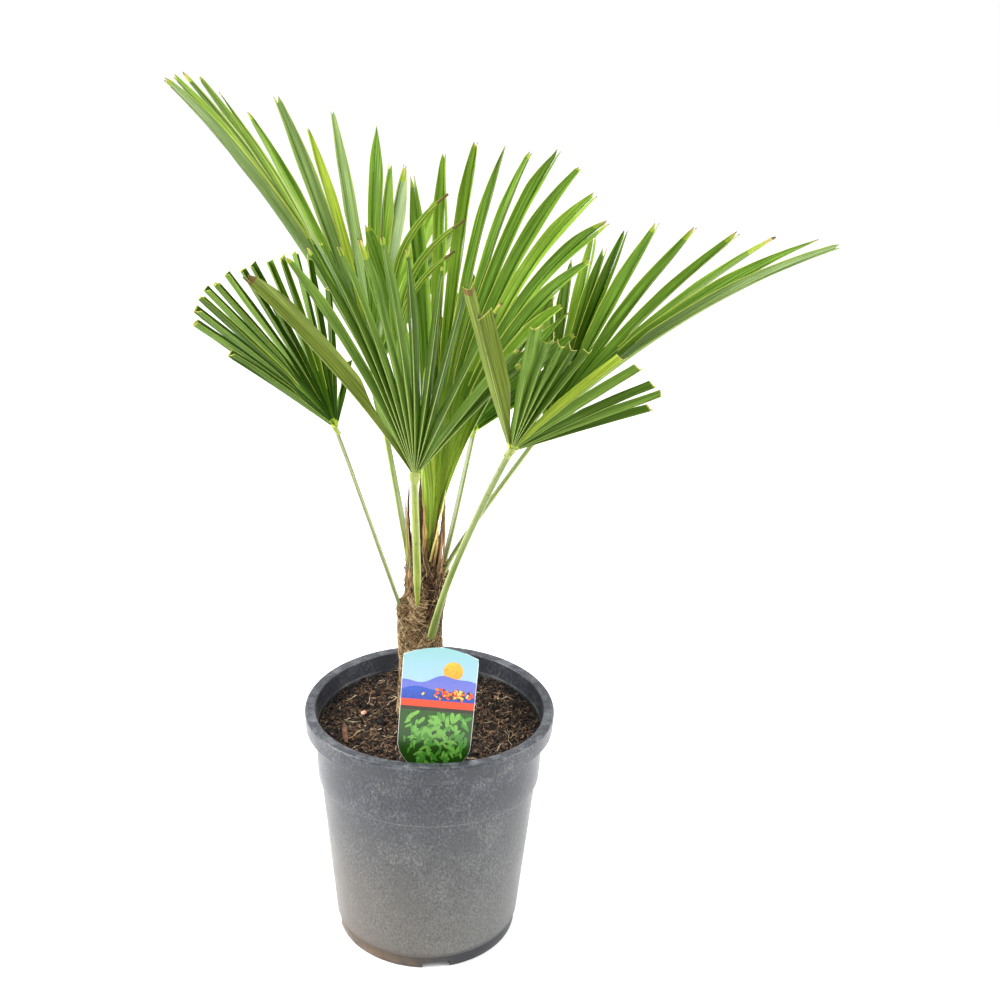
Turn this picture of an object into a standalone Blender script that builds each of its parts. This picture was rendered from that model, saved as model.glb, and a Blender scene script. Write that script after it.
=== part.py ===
"""Potted windmill palm: a young fan palm with seven fronds in a round nursery pot.

Units are metres, +Z is up, +X is the plant's right and -Y its front.
The origin is the centre of the pot's underside, on the pot's axis.
"""
import math
from dataclasses import dataclass, field

import bmesh
import bpy
import numpy as np
from mathutils import Matrix, Vector

CLEARANCE = 0.0003
MERGE = 0.00001

# Pot: a turned wall with a rolled rim band, a collar step and a notched foot ring
POT_HEIGHT = 0.213
RIM_RADIUS = 0.105
RIM_BAND_HEIGHT = 0.016
RIM_INNER_RADIUS = 0.0990
WALL_TOP_RADIUS = 0.0970
COLLAR_Z = 0.152
COLLAR_RADIUS = 0.0955
COLLAR_STEP = 0.0022
SHOULDER_RADIUS = 0.0805
SHOULDER_Z = 0.014
FOOT_RADIUS = 0.0756
WALL = 0.0026
LIP_RADIUS = 0.0016
EDGE_ROUND = 0.0006
FLOOR_Z = 0.0060
FOOT_RING_WIDTH = 0.0040
PAD_RADIUS = 0.012
DRAIN_HOLES = 4
DRAIN_HOLE_RADIUS = 0.006
DRAIN_CIRCLE_RADIUS = 0.048
NOTCHES = 4
NOTCH_WIDTH = 0.021
NOTCH_HEIGHT = 0.0045
NOTCH_BEARING = -84.0
POT_STEPS = 72

# Soil: fills the pot to a finger's width under the rim, with a low mound
SOIL_EDGE_Z = 0.1965
SOIL_MOUND = 0.0035
SOIL_STEPS = 32

# Trunk: a short column clad in leaf sheaths, from a flat cut at soil level
TRUNK_FOOT = Vector((-0.0097, 0.0080, SOIL_EDGE_Z + SOIL_MOUND + 0.0010))
TRUNK_HEIGHT = 0.150
TRUNK_LEAN = Vector((0.0020, 0.0010, 0.0))
TRUNK_RADII = ((0.0, 0.0208), (0.10, 0.0182), (0.46, 0.0174), (0.64, 0.0150), (0.90, 0.0136), (1.0, 0.0102))
SHEATH_LENGTH = 0.052
SHEATH_RADIUS = 0.0042
SHEATH_TIP_RADIUS = 0.0008
SHEATH_DROP = 0.030
SHEATH_STAND_OFF = 0.0095
SHEATH_SPREAD = 0.0035
SHEATH_BEARINGS = (5.0, 100.0, 205.0, 330.0)

# Petioles and fronds
PETIOLE_STATIONS = 9
PETIOLE_LEAVE = 0.60
PETIOLE_ARRIVE = 0.10
PETIOLE_FOOT_SHARE = 1.15
PETIOLE_TIP_SHARE = 0.92
STRAIGHT_END = 0.008
BOOT_RUN = 0.016
BOOT_DEPTH = 0.55
BOOT_SWELL = 1.45
BOOT_CAP = 1.3
HUB_RADIUS = 0.0040
HUB_NECK_SHARE = 0.6
HUB_TIP_RADIUS = 0.0020
HUB_REACH = 0.010
LEAF_THICKNESS_RATIO = 0.0101
SAG_SCALE = 0.30
FREE_STATIONS = (0.36, 0.72, 1.0)
LEAFLET_GAP = 0.0009
PLEAT_SLOPE = 0.30
PLEAT_DEPTH = 0.0030
RIB_SHARE = 0.3
LINE_STEPS = 24
LOOK_AHEAD = 0.002
LEAST_HALF_WIDTH = 0.0011
LONGEST_FUSED_SHARE = 0.85
BASE_WIDTH_SHARE = 0.35
WIDTH_GROWTH = 1.9
TAPER_START = 0.62
TAPER_AMOUNT = 0.86
TAPER_POWER = 1.3
CUT_TAPER_START = 0.85
CUT_TAPER = 0.93

# Plant label
TAG_WIDTH = 0.060
TAG_LENGTH = 0.136
TAG_THICKNESS = 0.0008
TAG_PLACE = Vector((0.0100, -0.0800, 0.1700))
TAG_LEAN = math.radians(-7.0)
TAG_ROLL = math.radians(-2.0)
TAG_ARCH = 0.008
TAG_BURIED = 0.030
TAG_SPIKE_WIDTH = 0.030
TAG_SPIKE_END = 0.6
TAG_SHOULDERS = ((0.985, 0.016), (0.90, 0.009), (0.72, 0.003))
TAG_SPIKE_DROP = 0.004


@dataclass(frozen=True)
class Frond:
    """One fan leaf: where its hub stands, how its blade lies and how far each leaflet reaches."""

    name: str
    hub: tuple
    bearing: float
    rise: float
    roll: float
    cup: float
    sag: float
    opening: float
    angles: tuple
    reaches: tuple
    width: float
    rings: tuple
    pointed: bool
    foot: tuple = ()
    foot_bearing: float = 0.0
    foot_rise: float = 70.0
    petiole_radius: float = 0.0033
    tears: dict = field(default_factory=dict)
    split: int = 2

    @property
    def reach(self):
        """Length of the longest leaflet in metres."""
        return max(self.reaches) / 100.0

    @property
    def thickness(self):
        """Blade thickness, a hundredth of the longest leaflet."""
        return max(0.0022, self.reach * LEAF_THICKNESS_RATIO)


# Angles are degrees from the blade's middle line, and reaches are centimetres
FRONDS = (
    Frond("frond_front", (-0.0095, -0.0900, 0.4600), -66, 56, 19, 8, 0.06, 0.74,
          (49, 38, 33, 30, 27, 23, 19, 15, 8.5, 3.5, -5, -17, -22),
          (21.5, 22.4, 23.0, 23.3, 23.1, 23.7, 23.9, 23.0, 22.1, 20.9, 19.8, 15.7, 14.5),
          0.0080, (0.014, 0.050, 0.095, 0.125), True,
          (-0.0116, -0.0100, 0.3160), -81, 66, 0.0029, {0: 1}),
    Frond("frond_left", (-0.0714, -0.0550, 0.4828), 181, 53, 14, 13, 0.11, 0.97,
          (-38, -34, -28, -20, -12, -3, 5, 12, 17, 25, 31, 37, 43, 50, 64),
          (13.0, 16.3, 15.8, 15.1, 14.5, 13.9, 13.8, 13.5, 13.5, 13.5, 13.7, 14.2, 14.0, 11.8, 6.0),
          0.0060, (0.014, 0.036, 0.060, 0.085), False,
          (-0.0262, -0.0032, 0.3124), 209, 70, 0.0021, {6: 1, 10: 1, 13: 1}),
    Frond("frond_right", (0.0598, -0.1572, 0.5086), -38, 52, 38, 12, 0.14, 1.02,
          (41, 37, 23, 17, 13, 9, 3, -10, -21, -34, -42, -49),
          (14.1, 12.0, 11.1, 10.2, 10.2, 10.2, 10.5, 10.9, 10.8, 10.7, 10.8, 10.0),
          0.0070, (0.014, 0.034, 0.055, 0.075), False,
          (0.0018, -0.0100, 0.2847), -82, 68, 0.0026, {1: 1, 6: 1}),
    Frond("frond_right_back", (0.0885, 0.0500, 0.4510), 18, 51, -13, 17, 0.30, 0.59,
          (-62, -51, -42, -36, -30, -20, -8, 6, 20, 29, 34),
          (13.0, 15.1, 17.2, 16.1, 18.1, 19.4, 20.4, 22.0, 24.0, 27.0, 28.6),
          0.0090, (0.016, 0.050, 0.085, 0.115), True,
          (0.0074, 0.0148, 0.3325), 14, 65, 0.0023),
    Frond("frond_back", (0.0295, 0.0700, 0.4370), 64, 58, 15, 8, 0.16, 0.98,
          (-35, -26, -17, -8, 2, 12, 22, 33, 44, 55),
          (13.4, 14.2, 14.4, 14.0, 13.6, 13.4, 13.2, 13.0, 12.4, 11.6),
          0.0080, (0.014, 0.036, 0.060, 0.085), True,
          (0.0085, 0.0235, 0.3373), 60, 63, 0.0024),
    Frond("frond_left_back", (-0.0573, 0.1000, 0.4766), 159, 63, -3, 21, 0.32, 0.74,
          (-35, -31, -25.5, -18, -8, 2, 11, 17, 25.5, 38.5, 44, 49, 64, 74, 80),
          (31.8, 30.6, 29.4, 27.7, 25.7, 23.6, 24.4, 21.5, 23.3, 23.3, 19.9, 20.7, 20.9, 19.7, 16.5),
          0.0092, (0.016, 0.055, 0.095, 0.130), True,
          (-0.0198, 0.0215, 0.3371), 127, 73, 0.0027),
    Frond("frond_centre", (-0.0005, 0.0130, 0.3620), 62, 84, 5, 23, 0.45, 0.54,
          (-18, -8, -3, 2, 8, 13, 17, 21, 25, 29, 32.5, 36, 39),
          (26.1, 29.3, 31.1, 32.2, 32.7, 33.3, 34.9, 35.2, 34.9, 34.5, 31.4, 26.8, 21.4),
          0.0084, (0.034, 0.100, 0.150, 0.185), True, split=3),
)

# New spear: the next leaf, still folded, standing in the middle of the crown
SPEAR_FOOT = Vector((-0.0045, 0.0020, 0.3560))
SPEAR_TIP = Vector((-0.0072, -0.0010, 0.5150))
SPEAR_RADIUS = 0.0034
SPEAR_SHARES = ((0.0, 0.8), (0.35, 1.0), (0.75, 0.8), (1.0, 0.24))


def clear_scene():
    """Remove whatever the file starts with."""
    for thing in list(bpy.data.objects):
        bpy.data.objects.remove(thing, do_unlink=True)


def make_collection(name):
    """Return a new collection linked to the scene."""
    collection = bpy.data.collections.new(name)
    bpy.context.scene.collection.children.link(collection)
    return collection


def make_material(name, colour, roughness, metallic=0.0):
    """Return a plain Principled material."""
    material = bpy.data.materials.new(name)
    material.use_nodes = True
    shader = material.node_tree.nodes["Principled BSDF"]
    shader.inputs["Base Color"].default_value = (*colour, 1.0)
    shader.inputs["Roughness"].default_value = roughness
    shader.inputs["Metallic"].default_value = metallic
    material.diffuse_color = (*colour, 1.0)
    return material


def add_mesh(name, vertices, faces, collection, material=None):
    """Return an object with a mesh built from vertices and faces."""
    mesh = bpy.data.meshes.new(name)
    mesh.from_pydata([tuple(v) for v in vertices], [], faces)
    mesh.update()
    thing = bpy.data.objects.new(name, mesh)
    collection.objects.link(thing)
    if material:
        mesh.materials.append(material)
    return thing


def bmesh_object(name, shape, collection, material=None):
    """Return an object that holds a finished bmesh, and free the bmesh."""
    mesh = bpy.data.meshes.new(name)
    shape.to_mesh(mesh)
    shape.free()
    thing = bpy.data.objects.new(name, mesh)
    collection.objects.link(thing)
    if material:
        mesh.materials.append(material)
    return thing


def replace_mesh_with_evaluated(thing):
    """Apply an object's modifiers by taking its evaluated mesh."""
    graph = bpy.context.evaluated_depsgraph_get()
    mesh = bpy.data.meshes.new_from_object(thing.evaluated_get(graph))
    thing.modifiers.clear()
    thing.data = mesh
    return thing


def mark_as_cutter(thing):
    """Keep a cutter out of the render and show it as wire."""
    thing.hide_render = True
    thing.display_type = "WIRE"
    return thing


def shade(thing, degrees=35.0):
    """Shade a round piece smooth with sharp edges kept."""
    thing.data.shade_smooth()
    thing.data.set_sharp_from_angle(angle=math.radians(degrees))


def turn_profile(name, profile, steps, collection, material):
    """Turn an (r, z) profile that starts and ends on the axis, top first, into a closed solid."""
    shape = bmesh.new()
    ring = [shape.verts.new((r, 0.0, z)) for r, z in profile]
    for first, second in zip(ring, ring[1:]):
        shape.edges.new((first, second))
    thing = bmesh_object(name, shape, collection, material)
    screw = thing.modifiers.new("turn", "SCREW")
    screw.steps = steps
    screw.render_steps = steps
    screw.use_merge_vertices = True
    screw.merge_threshold = MERGE
    return thing


def wall_radius(z):
    """Outer radius of the tapered wall at a height."""
    if z >= COLLAR_Z:
        share = (z - COLLAR_Z) / (POT_HEIGHT - RIM_BAND_HEIGHT - COLLAR_Z)
        return COLLAR_RADIUS + (WALL_TOP_RADIUS - COLLAR_RADIUS) * share
    share = (z - SHOULDER_Z) / (COLLAR_Z - SHOULDER_Z)
    return SHOULDER_RADIUS + (COLLAR_RADIUS - COLLAR_STEP - SHOULDER_RADIUS) * share


def pot_profile():
    """Closed profile of the pot wall, floor and central pad, down the outside first."""
    band_foot = POT_HEIGHT - RIM_BAND_HEIGHT
    lip = LIP_RADIUS
    outer = [
        (RIM_RADIUS - 2.2 * lip, POT_HEIGHT),
        (RIM_RADIUS - 0.8 * lip, POT_HEIGHT - 0.3 * lip),
        (RIM_RADIUS, POT_HEIGHT - 1.4 * lip),
        (RIM_RADIUS - EDGE_ROUND, band_foot + 1.6 * EDGE_ROUND),
        (RIM_RADIUS - lip, band_foot),
        (WALL_TOP_RADIUS + EDGE_ROUND, band_foot),
        (WALL_TOP_RADIUS, band_foot - EDGE_ROUND),
        (COLLAR_RADIUS, COLLAR_Z + 0.0010),
        (COLLAR_RADIUS - COLLAR_STEP, COLLAR_Z - 0.0012),
        (SHOULDER_RADIUS, SHOULDER_Z),
        (SHOULDER_RADIUS - 0.0016, SHOULDER_Z - 0.0040),
        (FOOT_RADIUS, SHOULDER_Z - 0.0060),
        (FOOT_RADIUS, 0.0),
    ]
    under = [
        (FOOT_RADIUS - FOOT_RING_WIDTH, 0.0),
        (FOOT_RADIUS - FOOT_RING_WIDTH, FLOOR_Z),
        (PAD_RADIUS, FLOOR_Z),
        (PAD_RADIUS, 0.0),
        (0.0, 0.0),
    ]
    floor_top = FLOOR_Z + WALL
    inner = [
        (0.0, floor_top),
        (SHOULDER_RADIUS - WALL - 0.004, floor_top),
        (SHOULDER_RADIUS - WALL, SHOULDER_Z + 0.002),
        (COLLAR_RADIUS - COLLAR_STEP - WALL, COLLAR_Z - 0.004),
        (COLLAR_RADIUS - WALL, COLLAR_Z + 0.002),
        (WALL_TOP_RADIUS - WALL, band_foot - 0.004),
        (RIM_INNER_RADIUS - EDGE_ROUND, POT_HEIGHT - 0.010),
        (RIM_INNER_RADIUS, POT_HEIGHT - 1.2 * lip),
        (RIM_INNER_RADIUS + 0.8 * lip, POT_HEIGHT),
    ]
    return outer + under, inner


def make_pot(parts, cutters, material):
    """Build the nursery pot: one turned body with notches and drain holes cut in it."""
    outside, inside = pot_profile()
    pot = turn_profile("pot", inside + outside, POT_STEPS, parts, material)
    cut_foot(pot, cutters)
    replace_mesh_with_evaluated(pot)
    shade(pot)
    return pot


def cut_foot(pot, cutters):
    """Cut the notches through the foot ring and the drain holes through the floor."""
    cutting = []
    for index in range(NOTCHES):
        bearing = math.radians(NOTCH_BEARING + 360.0 / NOTCHES * index)
        shape = bmesh.new()
        bmesh.ops.create_cube(shape, size=1.0)
        size = Matrix.Diagonal((0.030, NOTCH_WIDTH, 2.0 * NOTCH_HEIGHT, 1.0))
        place = Matrix.Rotation(bearing, 4, "Z") @ Matrix.Translation((FOOT_RADIUS, 0.0, 0.0)) @ size
        bmesh.ops.transform(shape, matrix=place, verts=shape.verts)
        cutting.append(mark_as_cutter(bmesh_object(f"notch_{index + 1}", shape, cutters)))
    for index in range(DRAIN_HOLES):
        bearing = math.radians(NOTCH_BEARING + 45.0 + 360.0 / DRAIN_HOLES * index)
        shape = bmesh.new()
        bmesh.ops.create_cone(shape, cap_ends=True, segments=16, radius1=DRAIN_HOLE_RADIUS,
                              radius2=DRAIN_HOLE_RADIUS, depth=0.02)
        place = Vector((math.cos(bearing), math.sin(bearing), 0.0)) * DRAIN_CIRCLE_RADIUS
        place.z = FLOOR_Z + WALL / 2
        bmesh.ops.translate(shape, vec=place, verts=shape.verts)
        cutting.append(mark_as_cutter(bmesh_object(f"drain_{index + 1}", shape, cutters)))
    for cutter in cutting:
        cut = pot.modifiers.new(cutter.name, "BOOLEAN")
        cut.object = cutter
        cut.operation = "DIFFERENCE"


def inner_wall_radius(z):
    """Inner radius of the pot at a height above the shoulder, less the soil's clearance."""
    _, inside = pot_profile()
    points = sorted((height, radius) for radius, height in inside)
    heights = [height for height, _ in points]
    radii = [radius for _, radius in points]
    return float(np.interp(z, heights, radii)) - CLEARANCE


def soil_height(radius):
    """Height of the soil's surface: a low mound that falls to the pot's wall."""
    share = min(1.0, radius / inner_wall_radius(SOIL_EDGE_Z))
    return SOIL_EDGE_Z + SOIL_MOUND * (0.5 + 0.5 * math.cos(math.pi * share))


def make_soil(parts, cutters, material):
    """Fill the pot with soil and leave a slot where the label is pushed in."""
    edge = inner_wall_radius(SOIL_EDGE_Z)
    rings = (0.0, 0.25, 0.5, 0.75, 1.0)
    top = [(edge * share, soil_height(edge * share)) for share in rings]
    bottom = FLOOR_Z + WALL + CLEARANCE
    _, inside = pot_profile()
    side = [(r - CLEARANCE, z) for r, z in reversed(inside) if SHOULDER_Z < z < SOIL_EDGE_Z]
    foot = [(SHOULDER_RADIUS - WALL - 0.004 - CLEARANCE, bottom), (0.0, bottom)]
    soil = turn_profile("soil", top + side + foot, SOIL_STEPS, parts, material)
    slot = mark_as_cutter(tag_plate("tag_slot", cutters, CLEARANCE))
    cut = soil.modifiers.new("slot", "BOOLEAN")
    cut.object = slot
    cut.operation = "DIFFERENCE"
    replace_mesh_with_evaluated(soil)
    shade(soil)
    return soil


def tag_outline(grow=0.0):
    """Outline of the label in its own plane: an arched head, straight sides and a tapered spike."""
    half = TAG_WIDTH / 2 + grow
    head = TAG_LENGTH - TAG_ARCH
    points = []
    for share in np.linspace(0.0, 1.0, 9):
        points.append((half * math.cos(math.pi * share), head + TAG_ARCH * math.sin(math.pi * share) + grow))
    spike = TAG_SPIKE_WIDTH / 2 + grow
    lower = [(half * share, TAG_BURIED + rise) for share, rise in TAG_SHOULDERS]
    lower += [(spike, TAG_BURIED - TAG_SPIKE_DROP), (spike * TAG_SPIKE_END, -grow)]
    points += [(-x, y) for x, y in lower]
    points += reversed(lower)
    return points


def tag_matrix():
    """Place of the label: its spike's end in the soil, leaning back a little."""
    return (Matrix.Translation(TAG_PLACE) @ Matrix.Rotation(TAG_ROLL, 4, "Y")
            @ Matrix.Rotation(math.pi / 2 + TAG_LEAN, 4, "X"))


def tag_plate(name, collection, grow=0.0):
    """Return the label as a thin plate, grown on all sides when it is a cutter."""
    shape = bmesh.new()
    half = TAG_THICKNESS / 2 + grow
    corners = [shape.verts.new((x, y, -half)) for x, y in tag_outline(grow)]
    face = shape.faces.new(corners)
    made = bmesh.ops.extrude_face_region(shape, geom=[face])
    lifted = [item for item in made["geom"] if isinstance(item, bmesh.types.BMVert)]
    bmesh.ops.translate(shape, vec=(0.0, 0.0, 2 * half), verts=lifted)
    bmesh.ops.recalc_face_normals(shape, faces=shape.faces)
    bmesh.ops.transform(shape, matrix=tag_matrix(), verts=shape.verts)
    return bmesh_object(name, shape, collection)


def tube(name, points, radii, sides_step, collection):
    """Return a curve object along points, with a radius at each, and filled ends."""
    curve = bpy.data.curves.new(name, "CURVE")
    curve.dimensions = "3D"
    curve.bevel_depth = 1.0
    curve.bevel_resolution = sides_step
    curve.use_fill_caps = True
    spline = curve.splines.new("POLY")
    spline.points.add(len(points) - 1)
    for knot, point, radius in zip(spline.points, points, radii):
        knot.co = (*point, 1.0)
        knot.radius = radius
    thing = bpy.data.objects.new(name, curve)
    collection.objects.link(thing)
    return thing


def tube_mesh(name, points, radii, sides_step, collection, material=None):
    """Return a tapering tube as a closed mesh object."""
    guide = tube(name + "_guide", points, radii, sides_step, collection)
    graph = bpy.context.evaluated_depsgraph_get()
    mesh = bpy.data.meshes.new_from_object(guide.evaluated_get(graph))
    bpy.data.objects.remove(guide, do_unlink=True)
    shape = bmesh.new()
    shape.from_mesh(mesh)
    bmesh.ops.remove_doubles(shape, verts=shape.verts, dist=MERGE)
    bmesh.ops.recalc_face_normals(shape, faces=shape.faces)
    bpy.data.meshes.remove(mesh)
    return bmesh_object(name, shape, collection, material)


def join_solids(base, others, group_name):
    """Fuse solids into the base with one Boolean union on a collection, then remove them."""
    group = make_collection(group_name)
    for other in others:
        for owner in list(other.users_collection):
            owner.objects.unlink(other)
        group.objects.link(other)
    union = base.modifiers.new("union", "BOOLEAN")
    union.operation = "UNION"
    union.operand_type = "COLLECTION"
    union.collection = group
    replace_mesh_with_evaluated(base)
    for other in list(group.objects):
        bpy.data.objects.remove(other, do_unlink=True)
    bpy.data.collections.remove(group)
    return base


def direction(bearing, rise):
    """Unit vector at a bearing round the vertical, from +X to +Y, and a rise, in degrees."""
    turn, lift = math.radians(bearing), math.radians(rise)
    return Vector((math.cos(lift) * math.cos(turn), math.cos(lift) * math.sin(turn), math.sin(lift)))


def petiole_path(frond):
    """Smooth path of a leaf stalk from the trunk to the hub, as points."""
    start, end = Vector(frond.foot), Vector(frond.hub)
    span = (end - start).length
    leave = direction(frond.foot_bearing, frond.foot_rise) * span * PETIOLE_LEAVE
    arrive = direction(frond.bearing, frond.rise) * span * PETIOLE_ARRIVE
    points = []
    for t in np.linspace(0.0, 1.0, PETIOLE_STATIONS + 1):
        h = (2 * t**3 - 3 * t**2 + 1, t**3 - 2 * t**2 + t, -2 * t**3 + 3 * t**2, t**3 - t**2)
        points.append(start * h[0] + leave * h[1] + end * h[2] + arrive * h[3])
    points[-2] = end - arrive.normalized() * STRAIGHT_END
    return points


def make_petiole(frond, parts, material):
    """Build one leaf stalk, clear of the trunk's boot at its foot and of the hub at its tip."""
    points = petiole_path(frond)
    first = (points[1] - points[0]).normalized()
    points[0] = points[0] + first * CLEARANCE
    radii = frond.petiole_radius * np.linspace(PETIOLE_FOOT_SHARE, PETIOLE_TIP_SHARE, len(points))
    name = frond.name.replace("frond", "petiole")
    stalk = tube_mesh(name, points, radii, 2, parts, material)
    shade(stalk)
    return stalk


def make_trunk(parts, material):
    """Build the sheath-clad trunk with a boot for each leaf stalk and a few sheath tips."""
    foot = TRUNK_FOOT
    points, radii = [], []
    for share, radius in TRUNK_RADII:
        points.append(foot + TRUNK_LEAN * share + Vector((0.0, 0.0, TRUNK_HEIGHT * share)))
        radii.append(radius)
    trunk = tube_mesh("trunk", points, radii, 5, parts, material)
    pieces = []
    for frond in FRONDS:
        if not frond.foot:
            continue
        path = petiole_path(frond)
        out = (path[1] - path[0]).normalized()
        tip = path[0]
        height = tip.z - BOOT_RUN
        inside = foot + TRUNK_LEAN * ((height - foot.z) / TRUNK_HEIGHT)
        root = Vector((inside.x, inside.y, height)).lerp(tip - out * BOOT_RUN, BOOT_DEPTH)
        swollen = frond.petiole_radius * BOOT_SWELL
        cap = frond.petiole_radius * BOOT_CAP
        line = [root, tip - out * BOOT_RUN * 0.5, tip]
        pieces.append(tube_mesh("boot", line, [swollen, swollen, cap], 2, parts))
    for bearing in SHEATH_BEARINGS:
        side = direction(bearing, 0.0)
        low = foot + TRUNK_LEAN + Vector((0.0, 0.0, TRUNK_HEIGHT - SHEATH_DROP)) + side * SHEATH_STAND_OFF
        high = low + Vector((0.0, 0.0, SHEATH_LENGTH)) + side * SHEATH_SPREAD
        pieces.append(tube_mesh("sheath", [low, low.lerp(high, 0.5), high],
                                [SHEATH_RADIUS, SHEATH_RADIUS * 0.8, SHEATH_TIP_RADIUS], 1, parts))
    join_solids(trunk, pieces, "trunk_pieces")
    shade(trunk, 50.0)
    return trunk


def blade_frame(frond):
    """Unit vectors of the blade: along its middle line, across it and out of its upper face."""
    along = direction(frond.bearing, frond.rise)
    across = along.cross(Vector((0.0, 0.0, 1.0))).normalized()
    normal = across.cross(along)
    roll = math.radians(frond.roll)
    side = across * math.cos(roll) + normal * math.sin(roll)
    face = normal * math.cos(roll) - across * math.sin(roll)
    return np.array(along), np.array(side), np.array(face)


def leaflet_lines(frond, angles):
    """Middle line of each leaflet, as a function from the distance along it to a point.

    The line starts at its angle times the opening, turns out towards its full angle and bends
    down with gravity as it goes.
    """
    along, side, face = blade_frame(frond)
    cup = math.radians(frond.cup)

    def place(angle, at):
        run = (np.arange(LINE_STEPS) + 0.5) / LINE_STEPS * at
        turn = math.radians(angle) * (frond.opening + (1.0 - frond.opening) * run / frond.reach)
        heading = (np.cos(turn)[:, None] * along + np.sin(turn)[:, None] * math.cos(cup) * side
                   + np.abs(np.sin(turn))[:, None] * math.sin(cup) * face)
        heading = heading - (frond.sag * run / SAG_SCALE)[:, None] * np.array((0.0, 0.0, 1.0))
        heading /= np.linalg.norm(heading, axis=1)[:, None]
        return np.array(frond.hub) + heading.sum(axis=0) * at / LINE_STEPS

    return [lambda at, angle=angle: place(angle, at) for angle in angles]


def half_width(frond, share):
    """Half the width of a free leaflet at a share of its length."""
    swell = min(1.0, BASE_WIDTH_SHARE + WIDTH_GROWTH * share)
    if frond.pointed:
        past = max(0.0, share - TAPER_START) / (1.0 - TAPER_START)
        taper = 1.0 - TAPER_AMOUNT * past**TAPER_POWER
    else:
        taper = 1.0 if share < CUT_TAPER_START else CUT_TAPER
    return frond.width * swell * taper


def leaflet_stations(frond, index, last_ring):
    """Distances from the hub of one leaflet's cross-lines, shared rings first, then free ones."""
    reach = frond.reaches[index] / 100.0
    rings = list(frond.rings[:last_ring + 1])
    start = rings[-1]
    return rings, [start + (reach - start) * share for share in FREE_STATIONS]


def build_blade(frond, collection, material):
    """Build the pleated fan: leaflets share their edges up to a split and are free beyond it."""
    _, _, face = blade_frame(frond)
    count = len(frond.angles)
    line = leaflet_lines(frond, frond.angles)
    splits = [frond.tears.get(gap, frond.split) for gap in range(count - 1)]
    splits = [min(split, len(frond.rings) - 1) for split in splits]
    for gap in range(count - 1):
        shorter = min(frond.reaches[gap], frond.reaches[gap + 1]) / 100.0
        while frond.rings[splits[gap]] > LONGEST_FUSED_SHARE * shorter:
            splits[gap] -= 1
    vertices, faces, edges = [], [], {}

    def vertex(point):
        vertices.append(point)
        return len(vertices) - 1

    def shared_edge(gap, ring):
        """Index of the valley vertex between two leaflets on a ring."""
        if (gap, ring) not in edges:
            at = frond.rings[ring]
            low, high = line[gap](at), line[gap + 1](at)
            fold = min(PLEAT_DEPTH, PLEAT_SLOPE * np.linalg.norm(high - low) / 2)
            edges[(gap, ring)] = vertex((low + high) / 2 + face * fold)
        return edges[(gap, ring)]

    def margin(index, at, sign):
        """Vertex on a leaflet's own edge, held clear of its neighbour."""
        here, ahead = line[index](at), line[index](at + LOOK_AHEAD)
        heading = (ahead - here) / np.linalg.norm(ahead - here)
        out = np.cross(heading, face)
        out /= np.linalg.norm(out)
        reach = frond.reaches[index] / 100.0
        width = half_width(frond, at / reach)
        neighbour = index + sign
        if 0 <= neighbour < count:
            toward = line[neighbour](at) - here
            width = min(width, max(LEAST_HALF_WIDTH, np.linalg.norm(toward) / 2 - LEAFLET_GAP))
            if toward @ out < 0:
                out = -out
        else:
            other = line[index - sign](at) - here
            if other @ out > 0:
                out = -out
        fold = min(PLEAT_DEPTH, PLEAT_SLOPE * width)
        return vertex(here + out * width + face * fold)

    for index in range(count):
        left = splits[index - 1] if index > 0 else 0
        right = splits[index] if index < count - 1 else 0
        rings, free = leaflet_stations(frond, index, max(left, right, 1))
        rows = []
        for ring, at in enumerate(rings):
            shares_left = index > 0 and ring <= left
            shares_right = index < count - 1 and ring <= right
            start = shared_edge(index - 1, ring) if shares_left else margin(index, at, -1)
            end = shared_edge(index, ring) if shares_right else margin(index, at, 1)
            middle = vertex(line[index](at) - face * RIB_SHARE * PLEAT_DEPTH * (ring > 0))
            rows.append((start, middle, end))
        for at in free:
            ending = at >= frond.reaches[index] / 100.0 - MERGE
            if ending and frond.pointed:
                tip = vertex(line[index](at))
                rows.append((tip, tip, tip))
                continue
            rows.append((margin(index, at, -1), vertex(line[index](at)), margin(index, at, 1)))
        for below, above in zip(rows, rows[1:]):
            for corner in (0, 1):
                quad = (below[corner], below[corner + 1], above[corner + 1], above[corner])
                faces.append(tuple(dict.fromkeys(quad)))
    blade = add_mesh(frond.name, vertices, faces, collection, material)
    shape = bmesh.new()
    shape.from_mesh(blade.data)
    bmesh.ops.recalc_face_normals(shape, faces=shape.faces)
    shape.to_mesh(blade.data)
    shape.free()
    solid = blade.modifiers.new("thickness", "SOLIDIFY")
    solid.thickness = frond.thickness
    solid.offset = 0.0
    replace_mesh_with_evaluated(blade)
    return blade


def make_frond(frond, parts, material):
    """Build a frond: its blade fused with the hub that its ribs spring from."""
    blade = build_blade(frond, parts, material)
    along, _, _ = blade_frame(frond)
    hub, along = Vector(frond.hub), Vector(along)
    middle = leaflet_lines(frond, (sum(frond.angles) / len(frond.angles),))[0]
    neck, end = hub + along * frond.rings[0] * HUB_NECK_SHARE, Vector(middle(frond.rings[0] + HUB_REACH))
    knob = tube_mesh("hub", [hub + along * CLEARANCE, neck, end],
                     [frond.petiole_radius, HUB_RADIUS, HUB_TIP_RADIUS], 2, parts)
    join_solids(blade, [knob], frond.name + "_pieces")
    return blade


def make_spear(parts, material):
    """Build the folded new leaf as a slim tapered spear."""
    radii = [SPEAR_RADIUS * size for _, size in SPEAR_SHARES]
    points = [SPEAR_FOOT.lerp(SPEAR_TIP, share) for share, _ in SPEAR_SHARES]
    spear = tube_mesh("spear", points, radii, 2, parts, material)
    shade(spear)
    return spear


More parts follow.
